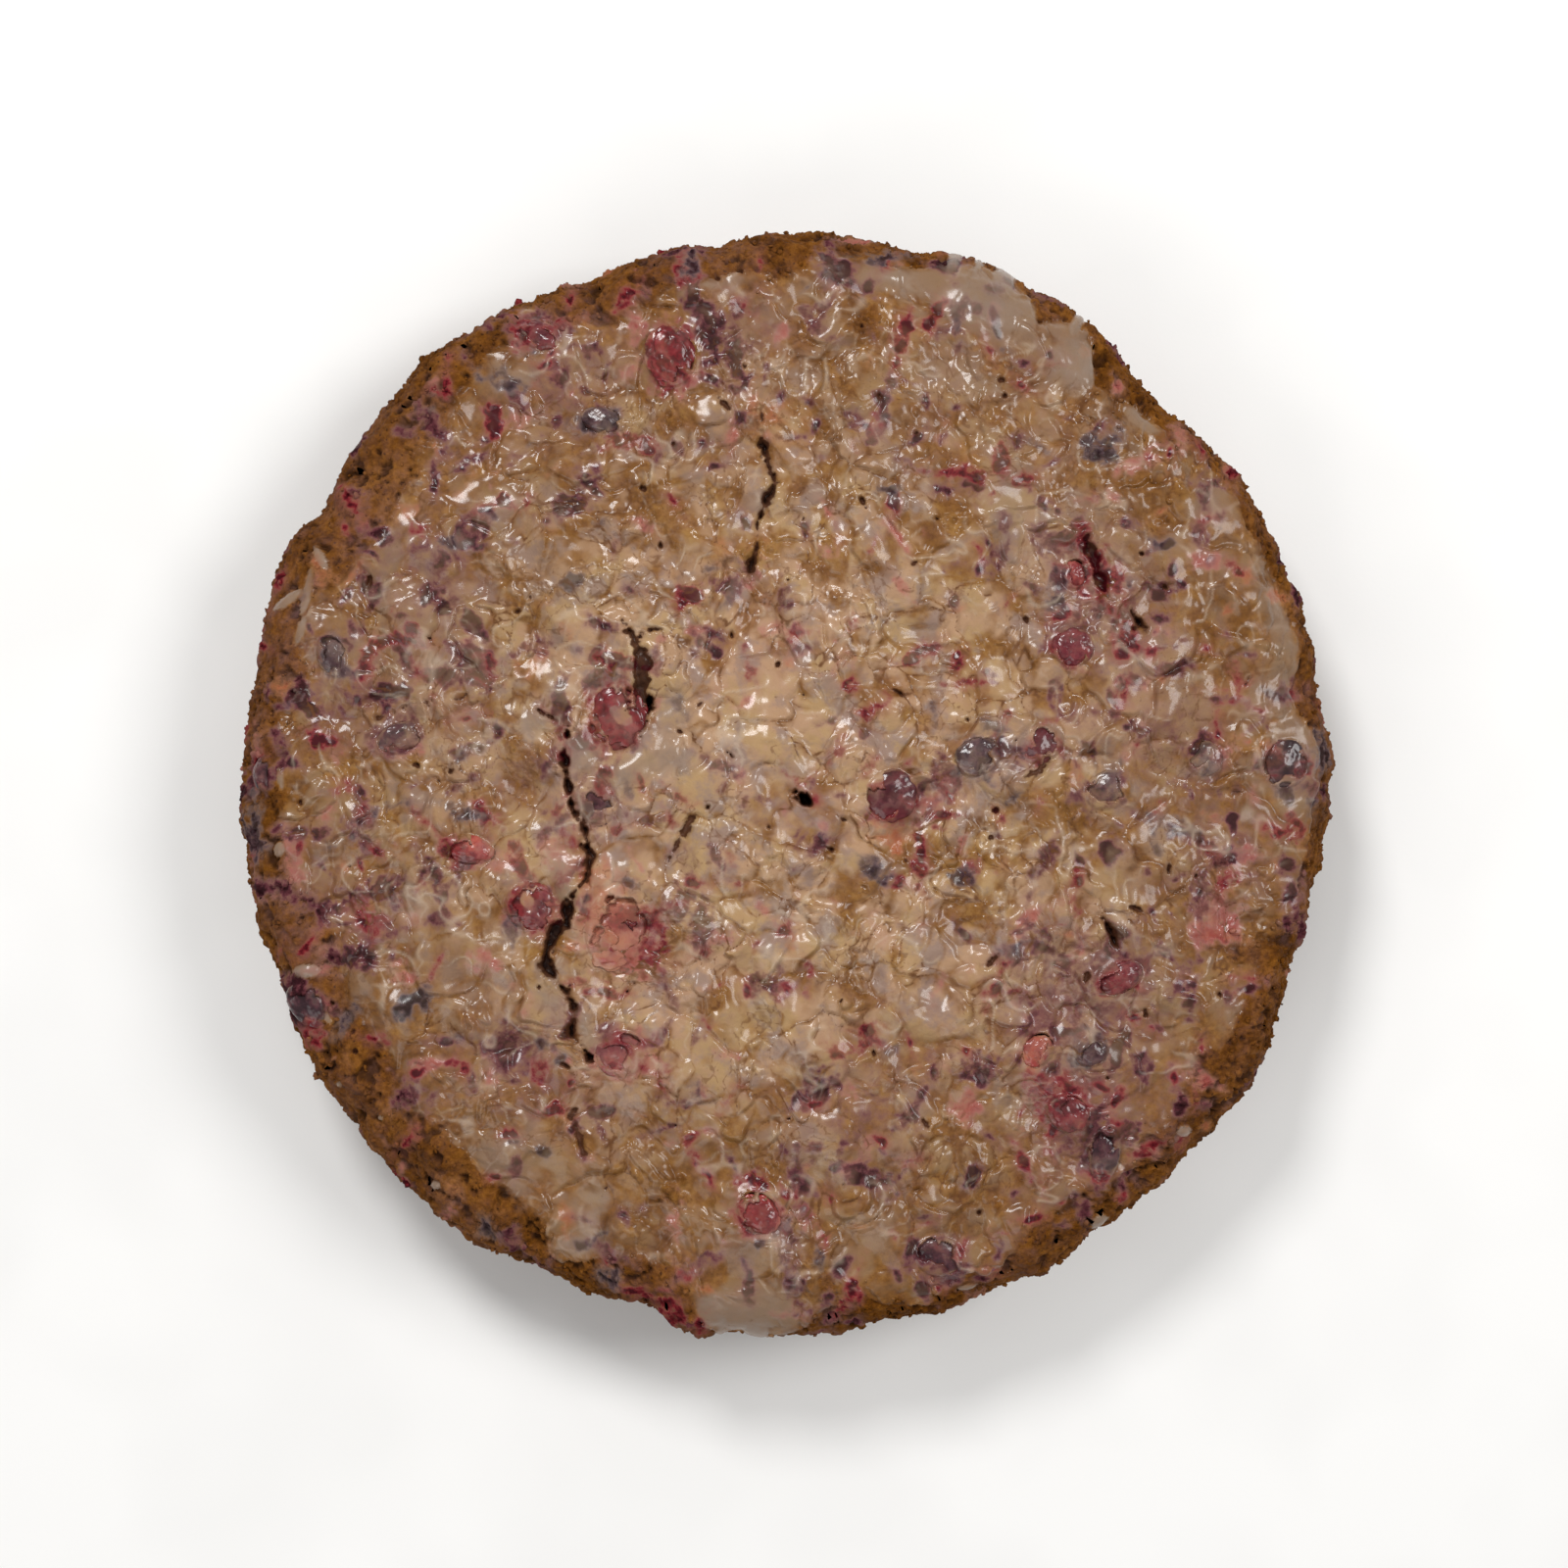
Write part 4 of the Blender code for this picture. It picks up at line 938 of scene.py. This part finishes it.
# A short way to write a node tree: each call adds a node and gives its output
class Nodes:
    def __init__(self, name):
        self.material = bpy.data.materials.new(name)
        self.material.use_nodes = True
        self.tree = self.material.node_tree
        self.shader = self.tree.nodes["Principled BSDF"]
        self.place = self.add("ShaderNodeTexCoord").outputs["Object"]

    def add(self, kind, **settings):
        node = self.tree.nodes.new(kind)
        for key, value in settings.items():
            setattr(node, key, value)
        return node

    def put(self, socket, value):
        if isinstance(value, bpy.types.NodeSocket):
            self.tree.links.new(value, socket)
        elif isinstance(value, tuple) and len(value) == 3 and socket.type == "RGBA":
            socket.default_value = (*value, 1.0)
        else:
            socket.default_value = value

    def field(self, name):
        return self.add("ShaderNodeAttribute", attribute_type="GEOMETRY", attribute_name=name).outputs["Fac"]

    # noise of the given width; shift moves it away, so that two of one width differ
    def noise(self, sizeMm, detail=3.0, rough=0.55, shift=0.0, place=None):
        node = self.add("ShaderNodeTexNoise")
        where = place or self.place
        if shift:
            moved = self.add("ShaderNodeVectorMath", operation="ADD")
            self.put(moved.inputs[0], where)
            moved.inputs[1].default_value = (shift, -shift, shift / 2)
            where = moved.outputs["Vector"]
        self.put(node.inputs["Vector"], where)
        node.inputs["Scale"].default_value = 1000.0 / sizeMm
        node.inputs["Detail"].default_value = detail
        node.inputs["Roughness"].default_value = rough
        return node.outputs["Fac"]

    def cells(self, sizeMm, place):
        node = self.add("ShaderNodeTexVoronoi", feature="F1")
        self.put(node.inputs["Vector"], place)
        node.inputs["Scale"].default_value = 1000.0 / sizeMm
        return node.outputs["Distance"]

    def math(self, operation, a, b=0.0, c=0.0):
        node = self.add("ShaderNodeMath", operation=operation)
        for socket, value in zip(node.inputs, (a, b, c)):
            self.put(socket, value)
        return node.outputs["Value"]

    def times(self, *values):
        total = values[0]
        for value in values[1:]:
            total = self.math("MULTIPLY", total, value)
        return total

    def mix(self, share, a, b):       # share of a, the rest of b
        return self.math("ADD", self.math("MULTIPLY", a, share), self.math("MULTIPLY", b, 1 - share))

    # smooth step from low to high
    def band(self, value, low, high, start=0.0, end=1.0):
        node = self.add("ShaderNodeMapRange", interpolation_type="SMOOTHSTEP")
        names = ("Value", "From Min", "From Max", "To Min", "To Max")
        for name, given in zip(names, (value, low, high, start, end)):
            self.put(node.inputs[name], given)
        return node.outputs["Result"]

    def blend(self, share, a, b):
        node = self.add("ShaderNodeMix", data_type="RGBA")
        colours = [socket for socket in node.inputs if socket.type == "RGBA"]
        self.put(node.inputs["Factor"], share)
        self.put(colours[0], a)
        self.put(colours[1], b)
        return next(socket for socket in node.outputs if socket.type == "RGBA")

    def ramp(self, value, *stops):
        node = self.add("ShaderNodeValToRGB")
        elements = node.color_ramp.elements
        while len(elements) < len(stops):
            elements.new(0.5)
        for element, (position, colour) in zip(elements, stops):
            element.position = position
            element.color = (*colour, 1.0)
        self.put(node.inputs["Fac"], value)
        return node.outputs["Color"]

    def warped(self, sizeMm, reachMm):
        noise = self.add("ShaderNodeTexNoise")
        self.put(noise.inputs["Vector"], self.place)
        noise.inputs["Scale"].default_value = 1000.0 / sizeMm
        noise.inputs["Detail"].default_value = 2.0
        shift = self.add("ShaderNodeVectorMath", operation="MULTIPLY_ADD")
        self.put(shift.inputs[0], noise.outputs["Color"])
        shift.inputs[1].default_value = (reachMm * 2 * mm,) * 3
        self.put(shift.inputs[2], self.place)
        return shift.outputs["Vector"]

    def bump(self, height, distanceMm, strength=1.0):
        node = self.add("ShaderNodeBump")
        node.inputs["Strength"].default_value = strength
        node.inputs["Distance"].default_value = distanceMm * mm
        self.put(node.inputs["Height"], height)
        return node.outputs["Normal"]

    # less shine from the crumb, and a thin clear coat where the sugar film lies
    def glossyCoat(self, weight):
        self.shader.inputs["Specular IOR Level"].default_value = 0.06
        self.shader.inputs["Coat Roughness"].default_value = 0.18
        self.put(self.shader.inputs["Coat Weight"], weight)

    def finish(self, colour, roughness, normal):
        self.put(self.shader.inputs["Base Color"], colour)
        self.put(self.shader.inputs["Roughness"], roughness)
        self.put(self.shader.inputs["Normal"], normal)
        return self.material


# Linear colour from the usual 0 to 255: ((c + 0.055) / 1.055)^2.4 above the straight dark end
def srgb(*channels):
    shares = [value / 255 for value in channels]
    return tuple(c / 12.92 if c <= 0.04045 else ((c + 0.055) / 1.055) ** 2.4 for c in shares)


skinColours = {
    "goldDark": srgb(100, 61, 22), "gold": srgb(128, 86, 39), "goldPale": srgb(154, 114, 61),
    "crustDark": srgb(62, 31, 4), "crust": srgb(99, 57, 10), "crustPale": srgb(131, 82, 27),
    # pore: painted shade for the pores and pits of the bare crust
    "pore": srgb(36, 15, 2),
    "glazePink": srgb(173, 138, 107), "glazeCream": srgb(171, 139, 99), "glazeGrey": srgb(140, 118, 108),
    # the last colour on the next line is a painted highlight for the film's curls
    "glazeFar": srgb(115, 83, 52), "glazeThick": srgb(136, 117, 102), "curlHighlight": srgb(200, 180, 158),
    "pinkHalo": srgb(170, 124, 110), "pink": srgb(168, 98, 92), "pinkDark": srgb(150, 62, 64),
    "orangeHalo": srgb(170, 120, 84), "orange": srgb(168, 98, 66), "orangeDark": srgb(150, 66, 42),
    "purpleHalo": srgb(134, 98, 92), "purple": srgb(96, 48, 56), "purpleDark": srgb(46, 15, 24),
    "redHalo": srgb(146, 90, 80), "red": srgb(120, 34, 40), "redDark": srgb(66, 10, 18),
    "blueHalo": srgb(128, 108, 100), "blue": srgb(80, 64, 68), "blueDark": srgb(34, 24, 28),
    # dark, the last colour on the next line, is painted shade for the deepest parts of cracks and holes
    "line": srgb(96, 58, 28), "wall": srgb(78, 46, 30), "dark": srgb(28, 12, 9),
}
# kind, size of the noise that tatters it in mm, strength
fruitBits = (("pink", 3.6, 0.75), ("orange", 3.4, 0.75), ("purple", 3.0, 0.95), ("red", 2.6, 1.0),
             ("blue", 3.2, 0.90))


# The glaze's own colour, cream, pinkish and greyish in patches, the same on crust and on fruit
def glazeMilk(n):
    c = skinColours
    milk = n.blend(n.band(n.noise(12.0, 4.0, 0.6), 0.46, 0.58), c["glazePink"], c["glazeCream"])
    return n.blend(n.band(n.noise(8.0, 4.0, 0.6, 0.31), 0.47, 0.62, 0.0, 0.85), milk, c["glazeGrey"])


# Fruit just under the surface: a faint tint round each bit, its own colour in it and dark in its middle
def addFruit(n, colour, place, hidden):
    c = skinColours
    for turn, (kind, size, strength) in enumerate(fruitBits):
        ragged = n.noise(size, 4.0, 0.62, 0.05 + 0.07 * turn, place)
        value = n.times(n.field(kind), n.math("MULTIPLY_ADD", ragged, 3.0, -0.5))
        shade = n.blend(n.band(value, 0.26, 0.80), c[kind + "Halo"], c[kind])
        shade = n.blend(n.band(value, 0.62, 1.10), shade, c[kind + "Dark"])
        colour = n.blend(n.times(n.band(value, 0.06, 0.75, 0.0, strength), hidden), colour, shade)
    return colour


def skinMaterial():
    n = Nodes("glazedCrust")
    c = skinColours
    wavy = n.warped(3.0, 0.9)
    medium = n.noise(6.0, 5.0, 0.62)
    fine = n.noise(1.3, 4.0, 0.65)
    grain = n.noise(0.45, 2.0)
    # crust, golden in the middle and brown at the rim, evener under the film
    glazed = n.field("wet")
    tone = n.mix(0.5, fine, medium)
    golden = n.ramp(n.mix(0.3, fine, medium), (0.34, c["goldDark"]), (0.50, c["gold"]), (0.66, c["goldPale"]))
    brown = n.ramp(tone, (0.36, c["crustDark"]), (0.50, c["crust"]), (0.64, c["crustPale"]))
    crust = n.blend(n.times(n.field("brown"), n.band(glazed, 0.0, 1.0, 1.0, 0.5)), golden, brown)
    # painted shade: pores and small pits of the bare crust turned almost black
    pits = n.math("MAXIMUM", n.field("pore"), n.band(n.cells(1.6, wavy), 0.24, 0.08))
    crust = n.blend(n.times(pits, n.math("SUBTRACT", 1.0, glazed), 0.8), crust, c["pore"])
    # the glaze over it, thinner and thicker from patch to patch
    milk = n.blend(n.times(n.field("brown"), 0.80), glazeMilk(n), c["glazeFar"])
    milk = n.blend(n.times(n.field("pool"), n.band(medium, 0.36, 0.60, 1.0, 0.6)), milk, c["glazeThick"])
    uneven = n.band(n.noise(5.0, 2.0, 0.5, 0.41, wavy), 0.36, 0.64, -0.20, 0.16)
    cover = n.band(n.math("ADD", n.field("cover"), uneven), 0.14, 0.80, 0.0, 0.92)
    cover = n.times(cover, n.band(n.field("cover"), 0.02, 0.2))
    colour = n.blend(cover, crust, milk)
    hidden = n.math("MAXIMUM", n.times(cover, 0.30), n.times(n.field("pool"), 0.6))
    colour = addFruit(n, colour, wavy, n.math("SUBTRACT", 1.0, hidden))
    # amber lines where plates and folds meet, and a painted highlight along the curls
    gaps = n.band(n.math("MULTIPLY_ADD", fine, 0.9, n.field("plate")), 0.85, 0.45)
    gaps = n.times(gaps, n.band(n.noise(10.0, 2.0, 0.5, 0.17), 0.42, 0.60, 0.0, 0.9))
    folds = n.band(n.math("MULTIPLY_ADD", fine, 0.6, n.field("crease")), 0.58, 0.36, 0.0, 0.5)
    lines = n.times(n.math("MAXIMUM", gaps, folds), glazed, n.math("SUBTRACT", 1.0, n.field("pool")))
    colour = n.blend(lines, colour, c["line"])
    # painted highlight: the curls lightened towards a pale glint colour
    colour = n.blend(n.times(n.field("curl"), 0.36), colour, c["curlHighlight"])
    # cracks, holes and the ragged openings over fruit; deep in the cracks and holes the dark is painted shade
    deep = n.math("MULTIPLY_ADD", n.math("SUBTRACT", fine, 0.5), 1.6, n.field("deep"))
    wall = n.blend(n.band(n.field("red"), 0.3, 0.7), c["wall"], c["redDark"])
    colour = n.blend(n.band(deep, 0.15, 0.7, 0.0, 0.95), colour, wall)
    # painted shade: the deepest parts of cracks and holes turned nearly black
    colour = n.blend(n.band(deep, 1.0, 2.4), colour, c["dark"])
    # in the openings round the fruit, dark red: partly juice soaked into the crumb, partly painted shade in
    # the gap under the berry
    colour = n.blend(n.band(n.field("opening"), -0.2, -0.9, 0.0, 0.6), colour, c["redDark"])
    rough = n.math("ADD", n.times(glazed, -0.36), n.math("MULTIPLY_ADD", fine, 0.14, 0.70))
    # grain on the crust, soft waves in the film
    waves = n.noise(2.4, 2.0, 0.5, 0.23, wavy)
    grainy = n.times(n.mix(0.6, fine, grain), n.band(glazed, 0.0, 1.0, 1.0, 0.12))
    soft = n.times(waves, glazed, n.math("MULTIPLY_ADD", n.field("pool"), -0.4, 0.65))
    bumpy = n.math("ADD", grainy, soft)
    n.glossyCoat(n.times(glazed, n.band(deep, 0.2, 0.8, 0.52, 0.1)))
    return n.finish(colour, n.math("MAXIMUM", rough, 0.2), n.bump(bumpy, 0.5))


# Each fruit's darkest, usual and palest colour, and the size in mm of the patches it varies in
fruitColours = {
    "raspberry": (srgb(52, 4, 9), srgb(104, 12, 24), srgb(134, 34, 42), 2.6),
    "strawberry": (srgb(126, 22, 28), srgb(156, 50, 48), srgb(180, 98, 78), 3.6),
    "cherry": (srgb(40, 6, 14), srgb(78, 14, 26), srgb(104, 36, 46), 6.0),
    "blueberry": (srgb(20, 11, 17), srgb(40, 25, 32), srgb(68, 48, 54), 3.6),
}


# Flesh, and over it the glaze's own colour in ragged patches, more of them where the film is full
def fruitMaterial(kind):
    n = Nodes(kind + "Flesh")
    dark, flesh, pale, size = fruitColours[kind]
    medium = n.noise(size, 4.0, 0.6)
    fine = n.noise(0.35 * size, 3.0)
    colour = n.ramp(n.mix(0.3, fine, medium), (0.34, dark), (0.50, flesh), (0.68, pale))
    # painted shade in the clefts: between drupelets, in the pips' pits, the blueberry's crown and the
    # cherry's fold
    colour = n.blend(n.times(n.field("cleft"), 0.6), colour, dark)
    wavy = n.warped(2.4, 0.8)
    ragged = n.math("SUBTRACT", n.noise(1.4 * size, 4.0, 0.55, 0.4, wavy), 0.5)
    patches = n.math("MULTIPLY_ADD", ragged, 2.4, n.field("film"))
    veil = n.blend(0.30, glazeMilk(n), flesh)
    colour = n.blend(n.band(patches, 0.45, 1.0, 0.02, 0.85), colour, veil)
    colour = addFruit(n, colour, wavy, 0.55)
    rough = n.math("MULTIPLY_ADD", medium, 0.20, 0.22)
    n.glossyCoat(0.7)
    return n.finish(colour, rough, n.bump(n.mix(0.3, fine, medium), 0.35, 0.8))


# in metres: half width of the floor, its gap below the foot, height of the camera
stage = {"floor": srgb(238, 237, 235), "floorPale": srgb(242, 241, 239), "floorHalf": 1.6, "gap": 0.00005,
         "camera": 0.78, "fill": 0.6916}


def buildStage():
    half = stage["floorHalf"]
    low = -stage["gap"]
    mesh = bpy.data.meshes.new("floor")
    corners = [(-half, -half, low), (half, -half, low), (half, half, low), (-half, half, low)]
    mesh.from_pydata(corners, [], [(0, 1, 2, 3)])
    floor = bpy.data.objects.new("floor", mesh)
    bpy.context.scene.collection.objects.link(floor)
    n = Nodes("paleFloor")
    tone = n.ramp(n.noise(60.0, 2.0), (0.4, stage["floor"]), (0.6, stage["floorPale"]))
    mesh.materials.append(n.finish(tone, 0.8, n.bump(n.noise(1.0, 2.0), 0.02)))


# name, place in metres, size, power; each looks at the middle of the foot
lights = (
    ("keyLight", (-0.35, 0.75, 1.05), 0.36, 9.0),
    ("sideLight", (0.85, 0.30, 1.15), 0.6, 8.5),
    ("fillLight", (-0.55, -0.85, 0.95), 0.9, 3.6),
)
skyLight = {"colour": (1.0, 1.0, 1.0), "strength": 0.36}


def buildLights():
    world = bpy.data.worlds.new("studio")
    world.use_nodes = True
    back = world.node_tree.nodes["Background"]
    back.inputs["Color"].default_value = (*skyLight["colour"], 1.0)
    back.inputs["Strength"].default_value = skyLight["strength"]
    bpy.context.scene.world = world
    for name, place, size, power in lights:
        lamp = bpy.data.lights.new(name, "AREA")
        lamp.shape = "DISK"
        lamp.size = size
        lamp.energy = power
        thing = bpy.data.objects.new(name, lamp)
        thing.location = place
        thing.rotation_euler = (-thing.location).to_track_quat("-Z", "Y").to_euler()
        bpy.context.scene.collection.objects.link(thing)
    bpy.context.scene.view_settings.view_transform = "Standard"


# Straight above, its up towards +Y, so far off that the widest level fills the given share of the frame
def buildCamera():
    camera = bpy.data.objects.new("camera", bpy.data.cameras.new("camera"))
    wideLevel = (bread["edgeHeight"] - bread["shoulderDrop"]) * mm
    away = stage["camera"] - wideLevel
    halfFrame = bread["wideRadius"] * mm / stage["fill"]
    camera.data.sensor_width = 36.0
    camera.data.lens = 18.0 * away / halfFrame
    camera.location = (0, 0, stage["camera"])
    bpy.context.scene.collection.objects.link(camera)
    bpy.context.scene.camera = camera


crust = skinMaterial()
breadPieces = buildSkin(crust)
breadPieces.append(buildFoot(crust))
breadPieces.append(buildCrumbs(crust))
for piece in breadPieces:
    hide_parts("bread")
print("bread done")
buildFruit({kind: fruitMaterial(kind) for kind in ("raspberry", "strawberry", "cherry", "blueberry")})
buildStage()
buildLights()
buildCamera()
print("stage, lights and camera done")
